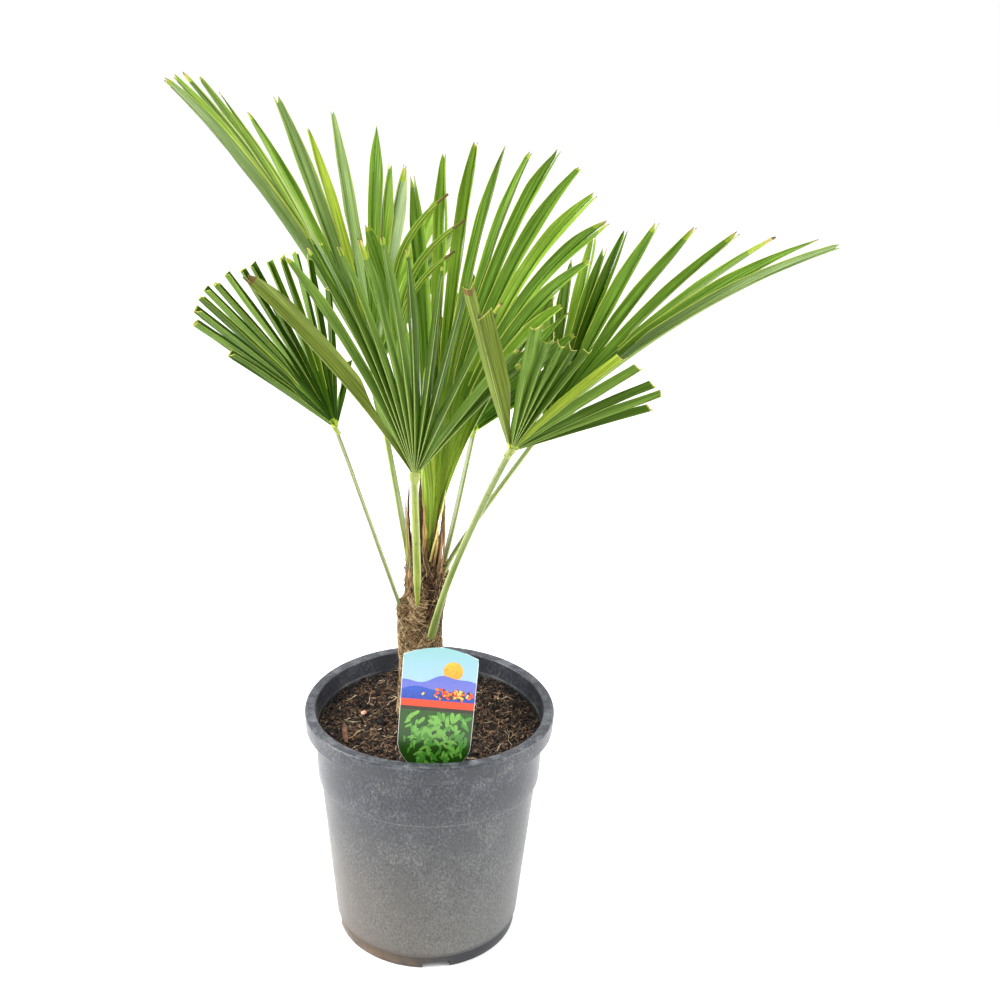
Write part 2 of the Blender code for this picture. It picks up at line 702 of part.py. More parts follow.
def main():
    """Build the whole plant."""
    clear_scene()
    parts = make_collection("potted_windmill_palm")
    cutters = make_collection("cutters")
    plastic = make_material("pot_plastic", (0.085, 0.092, 0.100), 0.55)
    earth = make_material("soil", (0.075, 0.045, 0.030), 0.95)
    fibre = make_material("trunk_fibre", (0.19, 0.125, 0.075), 0.95)
    stalk = make_material("petiole", (0.36, 0.46, 0.12), 0.45)
    leaf = make_material("leaf", (0.13, 0.26, 0.045), 0.42)
    card = make_material("label", (0.36, 0.62, 0.70), 0.35)
    make_pot(parts, cutters, plastic)
    make_soil(parts, cutters, earth)
    tag = tag_plate("plant_tag", parts)
    tag.data.materials.append(card)
    make_trunk(parts, fibre)
    for frond in FRONDS:
        if frond.foot:
            make_petiole(frond, parts, stalk)
        make_frond(frond, parts, leaf)
    make_spear(parts, stalk)


main()
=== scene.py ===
"""Looks of a young windmill palm in its nursery pot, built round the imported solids.

Units are metres, +Z is up, +X is the plant's right and -Y its front. The origin is the centre of
the pot's underside. Every surface is worked out as whole numpy arrays: a grid of two parameters, or
a ring carried along a path. Angles in the plant's tables are degrees and reaches are centimetres.
"""
import logging
import math
from dataclasses import dataclass, field
from enum import IntEnum
from typing import Sequence

import bpy
import numpy as np
from mathutils import Matrix, Vector

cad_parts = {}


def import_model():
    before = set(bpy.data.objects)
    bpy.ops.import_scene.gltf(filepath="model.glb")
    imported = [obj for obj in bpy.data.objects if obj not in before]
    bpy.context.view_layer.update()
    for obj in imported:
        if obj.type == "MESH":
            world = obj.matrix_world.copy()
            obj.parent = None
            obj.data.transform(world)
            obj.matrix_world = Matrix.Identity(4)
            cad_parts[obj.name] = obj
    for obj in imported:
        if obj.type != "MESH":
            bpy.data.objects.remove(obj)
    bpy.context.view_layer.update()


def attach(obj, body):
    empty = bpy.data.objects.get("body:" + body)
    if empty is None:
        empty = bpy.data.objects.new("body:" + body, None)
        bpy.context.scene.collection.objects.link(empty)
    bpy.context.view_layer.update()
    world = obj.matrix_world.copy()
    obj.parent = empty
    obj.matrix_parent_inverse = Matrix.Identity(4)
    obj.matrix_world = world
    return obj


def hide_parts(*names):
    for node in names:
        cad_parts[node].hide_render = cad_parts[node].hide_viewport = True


LOG = logging.getLogger("windmill_palm")
Array = np.ndarray
Triple = tuple[float, float, float]
Shown = tuple[int, int, int]
Socket = bpy.types.NodeSocket
Material = bpy.types.Material
Random = np.random.Generator

BODY = "root"
STRAND = "strand"
TINY = 1e-9
FULL = 2.0 * np.pi
UP = np.array((0.0, 0.0, 1.0))
FRONT = np.array((0.0, -1.0, 0.0))
LEVEL = np.array((1.0, 1.0, 0.0))
SKEWED = np.array((0.31, 0.22, 0.92))


def srgb(shown: Shown) -> Triple:
    """Linear colour of a display colour given as numbers from 0 to 255."""
    return tuple((channel / 255.0) ** 2.2 for channel in shown)


def scaled(colour: Triple, factor: float) -> Triple:
    """The colour with each channel times a factor."""
    return tuple(channel * factor for channel in colour)


def unit(vectors: Array) -> Array:
    """Vectors divided by their own lengths along the last axis."""
    return vectors / np.maximum(np.linalg.norm(vectors, axis=-1, keepdims=True), TINY)


def ease(share: Array) -> Array:
    """Smooth step from 0 to 1: three times the share squared less twice the share cubed."""
    share = np.clip(share, 0.0, 1.0)
    return share * share * (3.0 - 2.0 * share)


def even(rng: Random, low: float, high: float, count: int, axes: int = 3) -> Array:
    """Evenly drawn numbers, one for each of a count, with further axes of length one."""
    return rng.uniform(low, high, (count,) + (1,) * (axes - 1))


def direction(bearing: Array, rise: Array) -> Array:
    """Unit vectors at bearings round the vertical, from +X to +Y, and rises, in degrees."""
    turn, lift = np.radians(bearing), np.radians(rise)
    return np.stack([np.cos(lift) * np.cos(turn), np.cos(lift) * np.sin(turn), np.sin(lift)], axis=-1)


def spoke(turn: Array) -> Array:
    """Level unit vectors at angles in radians."""
    return np.stack([np.cos(turn), np.sin(turn), 0.0 * turn], axis=-1)


def away_from(turn: Array, middle: float) -> Array:
    """Angles measured from a middle one, from minus half a turn to half a turn."""
    return (turn - middle + np.pi) % FULL - np.pi


def ripple(points: Array, wavelength: float, seed: int, octaves: int = 4) -> Array:
    """Smooth uneven height at each point, about -1 to 1.

    It is a sum of sine waves in seeded directions. Each octave has half the wavelength and half the
    height of the one before.

    Args:
        points: Points, with their coordinates on the last axis.
        wavelength: Length of the longest waves.
        seed: Seed of the directions and phases.
        octaves: Number of octaves.

    Returns:
        One height for each point.
    """
    rng = np.random.default_rng(seed)
    waves, gain = 6, 1.3
    total = np.zeros(points.shape[:-1])
    for octave in range(octaves):
        pitch = unit(rng.normal(size=(waves, points.shape[-1]))) * (FULL * 2.0**octave / wavelength)
        total += np.sin(points @ pitch.T + rng.uniform(0.0, FULL, waves)).sum(axis=-1) * 0.5**octave
    return total / waves * gain


def grid_faces(rows: int, columns: int) -> Array:
    """Quads between neighbouring rows of a grid listed row by row, each row joined into a ring."""
    across = np.arange(columns)
    start = np.arange(rows - 1)[:, None] * columns
    here, beside = start + across, start + (across + 1) % columns
    return np.stack([here, beside, beside + columns, here + columns], axis=-1).reshape(-1, 4)


def tube_faces(rows: int, sides: int) -> Array:
    """Faces of a tube of rings with a strip over each end.

    The strip closes a ring with an even number of sides. With an odd number it leaves one
    triangle open at each end.
    """
    low = np.arange(sides // 2 - 1)
    strip = np.stack([low, low + 1, sides - 2 - low, sides - 1 - low], axis=-1)
    return np.concatenate([grid_faces(rows, sides), strip[:, ::-1], strip + (rows - 1) * sides])


def repeat_faces(faces: Array, count: int, stride: int) -> Array:
    """The same faces for each of a number of copies, whose points lie a stride apart."""
    return (faces[None] + np.arange(count)[:, None, None] * stride).reshape(-1, faces.shape[1])


def sweep(paths: Array, widths: Array, heights: Array, sides: int, reference: Array) -> Array:
    """Carry an ellipse along each path.

    A ring's point is the path's point plus cos(a) times the width along the side vector, plus
    sin(a) times the height along the lift vector. The side vector is the reference crossed with
    the path's heading, and the lift is the heading crossed with the side.

    Args:
        paths: Points of the paths, (count, rows, 3).
        widths: Half widths, (count, rows) or a shape that spreads to it.
        heights: Half heights, in the same form.
        sides: Points in a ring.
        reference: Vector that the side stays square to, one or one for each path point.

    Returns:
        Points, (count, rows, sides, 3).
    """
    tangent = unit(np.gradient(paths, axis=1))
    side = unit(np.cross(np.broadcast_to(reference, paths.shape), tangent))
    lift = np.cross(tangent, side)
    angle = (np.arange(sides) + 0.5) * FULL / sides
    across = np.broadcast_to(widths, paths.shape[:2])[..., None, None] * np.cos(angle)[:, None]
    above = np.broadcast_to(heights, paths.shape[:2])[..., None, None] * np.sin(angle)[:, None]
    return paths[:, :, None] + across * side[:, :, None] + above * lift[:, :, None]


def coils(start: Array, way: Array, up: Array, reach: Array, size: Array, phase: Array) -> Array:
    """Paths that circle round a straight line.

    A point is the start plus the way times the reach, plus the size times the cosine and the sine
    of the phase along two vectors square to the way.

    Args:
        start: Starts of the lines.
        way: Unit headings of the lines.
        up: Vector that the first of the two stays square to.
        reach: Distance along the line at each point of a path.
        size: Radius of the circling at each point.
        phase: Angle of the circling at each point, in radians.

    Returns:
        Points of the paths.
    """
    across = unit(np.cross(way, up))
    return start + way * reach + size * (np.cos(phase) * across + np.sin(phase) * np.cross(way, across))


class MeshBuilder:
    """Collects surfaces as arrays and writes them into one mesh object."""

    def __init__(self) -> None:
        """Start with no surface."""
        self.points: list[Array] = []
        self.strands: list[Array] = []
        self.faces: list[Array] = []
        self.finishes: list[Array] = []
        self.count = 0

    def add(self, points: Array, faces: Array | Sequence[Array], finish: Array | int = 0,
            strands: Array | None = None) -> None:
        """Take in one surface.

        Args:
            points: Points in any grid shape, with the coordinates last.
            faces: Corner indices into those points, one array or several of unlike corner counts.
            finish: Material index, one for all faces or one for each face.
            strands: Coordinates that run with the surface, one triple for each point.
        """
        flat = points.reshape(-1, 3)
        self.points.append(flat)
        self.strands.append(np.zeros_like(flat) if strands is None else strands.reshape(-1, 3))
        for group in [faces] if isinstance(faces, np.ndarray) else faces:
            self.faces.append(group + self.count)
            self.finishes.append(np.broadcast_to(np.asarray(finish, dtype=np.int32), len(group)))
        self.count += len(flat)

    def tubes(self, paths: Array, widths: Array, heights: Array, sides: int, finish: Array | int = 0,
              reference: Array = UP) -> None:
        """Take in closed tubes along paths.

        Args:
            paths: Points of the paths, (count, rows, 3).
            widths: Half widths.
            heights: Half heights.
            sides: Points in a ring, an even number.
            finish: Material index, one for all or one for each tube.
            reference: Vector that the rings' sides stay square to.
        """
        rings = sweep(paths, widths, heights, sides, reference)
        count, rows = rings.shape[:2]
        faces = tube_faces(rows, sides)
        chosen = np.repeat(np.broadcast_to(finish, count), len(faces))
        steps = np.linalg.norm(np.diff(paths, axis=1), axis=2)
        strands = np.zeros(rings.shape)
        strands[..., 0] = np.arange(sides) / sides
        strands[:, 1:, :, 1] = steps.cumsum(1)[..., None] * 100.0
        strands[..., 2] = np.arange(count)[:, None, None] * 0.37
        self.add(rings, repeat_faces(faces, count, rows * sides), chosen, strands)

    def build(self, name: str, materials: Sequence[Material], smooth: bool = True,
              sharp_degrees: float | None = None) -> bpy.types.Object:
        """Write what was collected into a new object at the origin.

        Args:
            name: Name of the object and its mesh.
            materials: Materials in the order of the finish indices.
            smooth: Whether the faces are shaded smooth.
            sharp_degrees: Angle past which an edge stays sharp, or None for none.

        Returns:
            The new object, linked to the scene.
        """
        mesh = bpy.data.meshes.new(name)
        counts = np.concatenate([np.full(len(group), group.shape[1]) for group in self.faces])
        loops = np.concatenate([group.ravel() for group in self.faces])
        mesh.vertices.add(self.count)
        mesh.vertices.foreach_set("co", np.concatenate(self.points).astype(np.float32).ravel())
        mesh.loops.add(len(loops))
        mesh.loops.foreach_set("vertex_index", loops.astype(np.int32))
        mesh.polygons.add(len(counts))
        mesh.polygons.foreach_set("loop_start", (np.cumsum(counts) - counts).astype(np.int32))
        mesh.polygons.foreach_set("material_index", np.concatenate(self.finishes).astype(np.int32))
        mesh.polygons.foreach_set("use_smooth", np.full(len(counts), smooth))
        mesh.update(calc_edges=True)
        strand = mesh.attributes.new(STRAND, "FLOAT_VECTOR", "POINT")
        strand.data.foreach_set("vector", np.concatenate(self.strands).astype(np.float32).ravel())
        if sharp_degrees is not None:
            mesh.set_sharp_from_angle(angle=math.radians(sharp_degrees))
        for material in materials:
            mesh.materials.append(material)
        piece = bpy.data.objects.new(name, mesh)
        bpy.context.scene.collection.objects.link(piece)
        return piece


def hand_over(piece: bpy.types.Object, slot: str, *nodes: str) -> None:
    """Ride a finished piece on the plant's body and report it.

    Args:
        piece: The finished piece.
        slot: Not used.
        nodes: CAD nodes that it stands for.
    """
    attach(piece, BODY)
    if nodes:
        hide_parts(*nodes)
    triangles = len(piece.data.loops) - 2 * len(piece.data.polygons)
    LOG.info("%s: %d triangles, for %s", piece.name, triangles, ", ".join(nodes) or "no node")


class Recipe:
    """One Principled material and the nodes that feed it."""

    def __init__(self, name: str, roughness: float, specular: float = 0.5) -> None:
        """Start a material with an even roughness and specular level."""
        self.material = bpy.data.materials.new(name)
        self.material.use_nodes = True
        self.tree = self.material.node_tree
        self.shader = self.tree.nodes["Principled BSDF"]
        self.feed(self.shader, {"Roughness": roughness, "Specular IOR Level": specular})

    def feed(self, node: bpy.types.Node, inputs: dict) -> None:
        """Link a socket to, or set a value of, each given input of a node."""
        for name, value in inputs.items():
            if isinstance(value, Socket):
                self.tree.links.new(value, node.inputs[name])
            else:
                node.inputs[name].default_value = value

    def node(self, kind: str, output: str | int, inputs: dict, **settings: str) -> Socket:
        """Add a node with its settings and inputs and give one of its outputs."""
        node = self.tree.nodes.new("ShaderNode" + kind)
        for name, value in settings.items():
            setattr(node, name, value)
        self.feed(node, inputs)
        return node.outputs[output]

    def place(self) -> Socket:
        """Object coordinates, in metres."""
        return self.node("TexCoord", "Object", {})

    def strand(self) -> Socket:
        """Coordinates that run with the surface: across it, along it in centimetres, and a seed."""
        return self.node("Attribute", "Vector", {}, attribute_name=STRAND)

    def noise(self, vector: Socket, scale: float | Triple, detail: float = 3.0,
              distortion: float = 0.0) -> Socket:
        """Cloudy pattern from 0 to 1 at a scale, one for all axes or one for each."""
        if isinstance(scale, tuple):
            vector, scale = self.node("Mapping", "Vector", {"Vector": vector, "Scale": scale}), 1.0
        return self.node("TexNoise", 0, {"Vector": vector, "Scale": scale, "Detail": detail,
                                         "Distortion": distortion})

    def mask(self, value: Socket, low: float, high: float) -> Socket:
        """Share from 0 to 1 as the value goes from low to high, clamped."""
        return self.node("MapRange", "Result", {"Value": value, "From Min": low, "From Max": high})

    def axis(self, vector: Socket, name: str) -> Socket:
        """One coordinate of a vector, by the name X, Y or Z."""
        return self.node("SeparateXYZ", name, {"Vector": vector})

    def times(self, first: Socket, second: Socket) -> Socket:
        """Product of two values."""
        return self.node("Math", 0, {0: first, 1: second}, operation="MULTIPLY")

    def ramp(self, factor: Socket, *stops: tuple[float, Triple]) -> Socket:
        """Colour read from stops along a factor."""
        node = self.tree.nodes.new("ShaderNodeValToRGB")
        elements = node.color_ramp.elements
        while len(elements) < len(stops):
            elements.new(0.5)
        for element, (position, colour) in zip(elements, stops):
            element.position = position
            element.color = (*colour, 1.0)
        self.feed(node, {"Fac": factor})
        return node.outputs["Color"]

    def blend(self, factor: Socket, first: Socket, second: Triple) -> Socket:
        """The first colour where the factor is 0, and the second where it is 1."""
        return self.node("Mix", 2, {0: factor, 6: first, 7: (*second, 1.0)}, data_type="RGBA")

    def finish(self, colour: Socket, height: Socket | None = None, strength: float = 0.3,
               depth: float = 0.0005) -> Material:
        """Link what was worked out to the shader.

        Args:
            colour: Base colour.
            height: Relief from 0 to 1, or None for a smooth surface.
            strength: Strength of the relief.
            depth: Depth of the relief in metres.

        Returns:
            The finished material.
        """
        self.feed(self.shader, {"Base Color": colour})
        if height is not None:
            normal = self.node("Bump", "Normal", {"Strength": strength, "Distance": depth, "Height": height})
            self.feed(self.shader, {"Normal": normal})
        return self.material


@dataclass(frozen=True)
class LeafFinish:
    """Satin leaf skin with fine veins and broader stripes that run the length of the leaflet."""

    name: str
    dark: Shown
    light: Shown
    roughness: float = 0.46
    specular: float = 0.09
    base: Shown | None = None
    base_run: tuple[float, float] = (15.0, 3.0)
    vein_scale: Triple = (9.0, 0.14, 3.0)
    stripe_scale: Triple = (2.6, 0.07, 7.0)

    def make(self) -> Material:
        """Return the material: veins along the strand, stripes that darken them and soft blotches.

        Where a base colour is given the skin starts with it and loses it over a run in centimetres.
        """
        recipe = Recipe(self.name, self.roughness, self.specular)
        strand = recipe.strand()
        veins = recipe.noise(strand, self.vein_scale, 2.0)
        stripes = recipe.noise(strand, self.stripe_scale, 2.0)
        dark, light = srgb(self.dark), srgb(self.light)
        middle = tuple((a + b) / 2.0 for a, b in zip(dark, light))
        colour = recipe.ramp(veins, (0.36, dark), (0.50, middle), (0.64, light))
        colour = recipe.blend(recipe.mask(stripes, 0.52, 0.20), colour, scaled(dark, 0.62))
        colour = recipe.blend(recipe.mask(stripes, 0.54, 0.95), colour, light)
        blotch = recipe.mask(recipe.noise(recipe.place(), 42.0, 2.0), 0.42, 0.85)
        colour = recipe.blend(blotch, colour, scaled(middle, 0.80))
        if self.base is not None:
            left = recipe.mask(recipe.axis(strand, "Y"), *self.base_run)
            left = recipe.times(left, recipe.mask(stripes, 0.26, 0.44))
            colour = recipe.blend(left, colour, srgb(self.base))
        return recipe.finish(colour, veins, 0.35, 0.0004)


@dataclass(frozen=True)
class StalkFinish:
    """Smooth ribbed skin of a leaf stalk or a rib."""

    name: str
    dark: Shown
    light: Shown

    def make(self) -> Material:
        """Return the material: thin stripes along the strand and faint flecks."""
        recipe = Recipe(self.name, 0.38, 0.4)
        stripes = recipe.noise(recipe.strand(), (16.0, 0.22, 2.0), 2.0)
        flecks = recipe.mask(recipe.noise(recipe.place(), 260.0, 2.0), 0.62, 0.72)
        colour = recipe.ramp(stripes, (0.30, srgb(self.dark)), (0.70, srgb(self.light)))
        colour = recipe.blend(flecks, colour, scaled(srgb(self.dark), 0.88))
        return recipe.finish(colour, stripes, 0.25, 0.0003)


@dataclass(frozen=True)
class FibreFinish:
    """Dry matted fibre, rough, with strands of several browns."""

    name: str
    dark: Shown
    light: Shown
    scale: float = 420.0

    def make(self) -> Material:
        """Return the material: two noises, one for the strands' tone and one for the relief."""
        recipe = Recipe(self.name, 0.86, 0.2)
        place = recipe.place()
        tone = recipe.noise(place, self.scale, 4.0, 0.6)
        relief = recipe.noise(place, self.scale * 2.2, 3.0)
        colour = recipe.ramp(tone, (0.32, srgb(self.dark)), (0.66, srgb(self.light)))
        return recipe.finish(colour, relief, 0.6, 0.0006)


@dataclass(frozen=True)
class SheathFinish:
    """Papery leaf sheath: lengthwise fibres, dark at its foot."""

    name: str
    foot: Shown
    dark: Shown
    light: Shown

    def make(self) -> Material:
        """Return the material: stripes along the strand over a ramp up from the foot in centimetres."""
        recipe = Recipe(self.name, 0.8, 0.25)
        strand = recipe.strand()
        stripes = recipe.noise(strand, (13.0, 0.9, 3.0), 4.0)
        colour = recipe.ramp(stripes, (0.34, srgb(self.dark)), (0.62, srgb(self.light)))
        low = recipe.mask(recipe.axis(strand, "Y"), 2.2, 0.4)
        colour = recipe.blend(recipe.times(low, recipe.mask(stripes, 0.75, 0.35)), colour, srgb(self.foot))
        return recipe.finish(colour, stripes, 0.6, 0.0005)


@dataclass(frozen=True)
class PotFinish:
    """Dark recycled plastic with fine flakes, pale edges that are partly wear and partly painted highlight,
    dust, a soiled foot and a foot ring darkened as painted shade.
    """

    name: str
    base: Shown
    # Colour of the dust, also used for the pale edge lines that are partly painted highlight.
    dust_and_edge_highlight: Shown
    worn: Shown
    soiled: Shown
    roughness: float = 0.30
    lip: float = 0.2152
    # Heights of the pale edge lines, partly wear and partly painted highlight.
    edges: tuple[float, ...] = (0.1985, 0.1526)

    def make(self) -> Material:
        """Return the material.

        Two fine noises make the grain and its flakes. Dust thickens downwards. The lip is worn pale. The band's
        lower edge and the collar step get broken pale lines about 1 mm high in the dust colour, partly wear and
        partly painted highlight.
        Soil stains the foot, most on the plant's left. The foot ring under the shoulder is darkened as painted
        shade.
        """
        recipe = Recipe(self.name, self.roughness, 0.38)
        base, dust_and_edge_highlight, worn, soiled = (srgb(shown) for shown in (self.base, self.dust_and_edge_highlight, self.worn, self.soiled))
        place, mask, times = recipe.place(), recipe.mask, recipe.times
        height, across = recipe.axis(place, "Z"), recipe.axis(place, "X")
        flakes = recipe.noise(place, (660.0, 660.0, 400.0), 5.0, 0.3)
        clouds = recipe.noise(place, 34.0, 5.0, 0.5)
        grain = mask(recipe.noise(place, 950.0, 3.0), 0.3, 0.7)
        scuffs = mask(recipe.noise(place, (110.0, 110.0, 300.0), 6.0, 0.4), 0.48, 0.86)
        broken = mask(clouds, 0.34, 0.60)
        layers = [
            (mask(clouds, 0.66, 0.30), scaled(base, 0.86)),
            (times(mask(height, 0.175, 0.035), mask(flakes, 0.10, 0.95)), dust_and_edge_highlight),
            (times(mask(clouds, 0.50, 0.95), grain), dust_and_edge_highlight),
            (times(mask(height, self.lip - 0.0035, self.lip), scuffs), worn),
        ]
        # Partly wear, partly painted highlight: broken pale lines along the band's lower edge and the collar
        # step.
        for edge in self.edges:
            line = times(mask(height, edge - 0.0011, edge), mask(height, edge + 0.0011, edge))
            layers.append((times(line, broken), dust_and_edge_highlight))
        cells = recipe.node("TexVoronoi", "Distance", {"Vector": place, "Scale": 190.0})
        rare = mask(recipe.noise(place, 70.0, 1.0), 0.56, 0.62)
        foot = times(mask(height, 0.020, 0.003), mask(across, 0.030, -0.035))
        layers += [
            (times(mask(cells, 0.070, 0.040), rare), worn),
            (times(mask(height, 0.140, -0.100), mask(across, 0.060, -0.140)), soiled),
            # Painted shade: the foot ring under the shoulder's overhang is darkened.
            (mask(height, 0.0165, 0.0110), scaled(base, 0.62)),
            (times(foot, mask(recipe.noise(place, 80.0, 4.0), 0.30, 0.55)), soiled),
        ]
        colour = recipe.ramp(flakes, (0.34, scaled(base, 0.25)), (0.50, base), (0.68, scaled(base, 3.40)))
        for share, tone in layers:
            colour = recipe.blend(share, colour, tone)
        rough = recipe.node("MapRange", "Result", {"Value": clouds, "To Min": self.roughness - 0.08,
                                                   "To Max": self.roughness + 0.20})
        recipe.feed(recipe.shader, {"Roughness": rough})
        return recipe.finish(colour, flakes, 0.22, 0.0003)


@dataclass(frozen=True)
class SoilFinish:
    """Moist compost, dark of its own and brown on its crumbs, with its hollows darkened to near black as
    painted shade.
    """

    name: str
    dark: Shown
    middle: Shown
    light: Shown
    scale: float = 230.0

    def make(self) -> Material:
        """Return the material: a ramp of browns along a detailed noise, with deep relief. The same noise sets
        the relief, so its low places take the darkest brown as painted shade.
        """
        recipe = Recipe(self.name, 0.82, 0.3)
        place = recipe.place()
        grain = recipe.noise(place, self.scale, 6.0, 0.4)
        dark, middle, light = srgb(self.dark), srgb(self.middle), srgb(self.light)
        # Painted shade: the ramp's darkest brown lies where the relief is lowest.
        colour = recipe.ramp(grain, (0.38, dark), (0.52, middle), (0.66, light))
        warm = tuple(a * b for a, b in zip(middle, (1.15, 0.98, 0.80)))
        colour = recipe.blend(recipe.mask(recipe.noise(place, 28.0, 2.0), 0.50, 0.90), colour, warm)
        return recipe.finish(colour, grain, 0.9, 0.0012)


@dataclass(frozen=True)
class PrintFinish:
    """Printed card with a soft gloss: a colour that shades into another up the label."""

    name: str
    low: Shown
    high: Shown
    grain: float = 0.2
    span: tuple[float, float] = (0.200, 0.306)

    def make(self) -> Material:
        """Return the material: a ramp up the height with a light mottle like a print's."""
        recipe = Recipe(self.name, 0.28, 0.5)
        place = recipe.place()
        rise = recipe.mask(recipe.axis(place, "Z"), *self.span)
        colour = recipe.ramp(rise, (0.0, srgb(self.low)), (1.0, srgb(self.high)))
        mottle = recipe.mask(recipe.noise(place, 700.0, 3.0), 0.50, 0.85)
        return recipe.finish(recipe.blend(mottle, colour, scaled(srgb(self.low), 1.0 - 2.0 * self.grain)))


class Stalk(IntEnum):
    """Finish of a leaf stalk, by its place in the list of stalk materials."""

    BRIGHT = 0
    GREEN = 1
    GREY = 2
    PALE = 3
    MARGIN = 4


class Tint(IntEnum):
    """Finish of a leaf face, by its place in the list of leaf materials."""

    DEEP = 0
    MID = 1
    FRESH = 2
    LIME = 3
    SILVER = 4
    UNDER = 5
    UNDER_DARK = 6
    EDGE = 7
    STRAW = 8
    BROWN = 9
    RIB = 10
    HUB = 11
    SHADE = 12
    YOUNG = 13
    OLIVE = 14


LEAF_FINISHES = (
    LeafFinish("leaf_deep", (42, 72, 12), (88, 118, 32)),
    LeafFinish("leaf_mid", (66, 98, 24), (114, 148, 54)),
    LeafFinish("leaf_fresh", (86, 122, 28), (138, 168, 64)),
    LeafFinish("leaf_lime", (108, 132, 28), (156, 174, 64)),
    LeafFinish("leaf_silver", (84, 112, 50), (132, 154, 86), 0.38, 0.33),
    LeafFinish("leaf_under", (70, 100, 32), (112, 140, 56), 0.52, 0.12),
    LeafFinish("leaf_under_dark", (46, 72, 12), (82, 108, 28), 0.52, 0.12),
    LeafFinish("leaf_edge", (124, 138, 46), (168, 176, 82), 0.5),
    LeafFinish("leaf_straw", (148, 134, 66), (184, 170, 102), 0.6, 0.25),
    LeafFinish("leaf_brown", (72, 58, 26), (112, 94, 48), 0.75, 0.2),
    StalkFinish("leaf_rib", (118, 138, 60), (156, 172, 94)),
    StalkFinish("leaf_hub", (116, 128, 54), (152, 162, 84)),
    # Painted shade: a dark green that darkens whole leaflets, and the fused valleys between leaflets, as if
    # shaded.
    LeafFinish("leaf_shade", (30, 54, 8), (62, 90, 20)),
    LeafFinish("leaf_young", (66, 98, 16), (114, 146, 44), base=(172, 190, 74)),
    LeafFinish("leaf_olive", (72, 86, 24), (116, 130, 52)),
)


@dataclass
class Half:
    """One side of every leaflet: its flat width, its fold and the two vectors it is laid out on."""

    sign: float
    width: Array
    fold: Array
    out: Array
    lift: Array


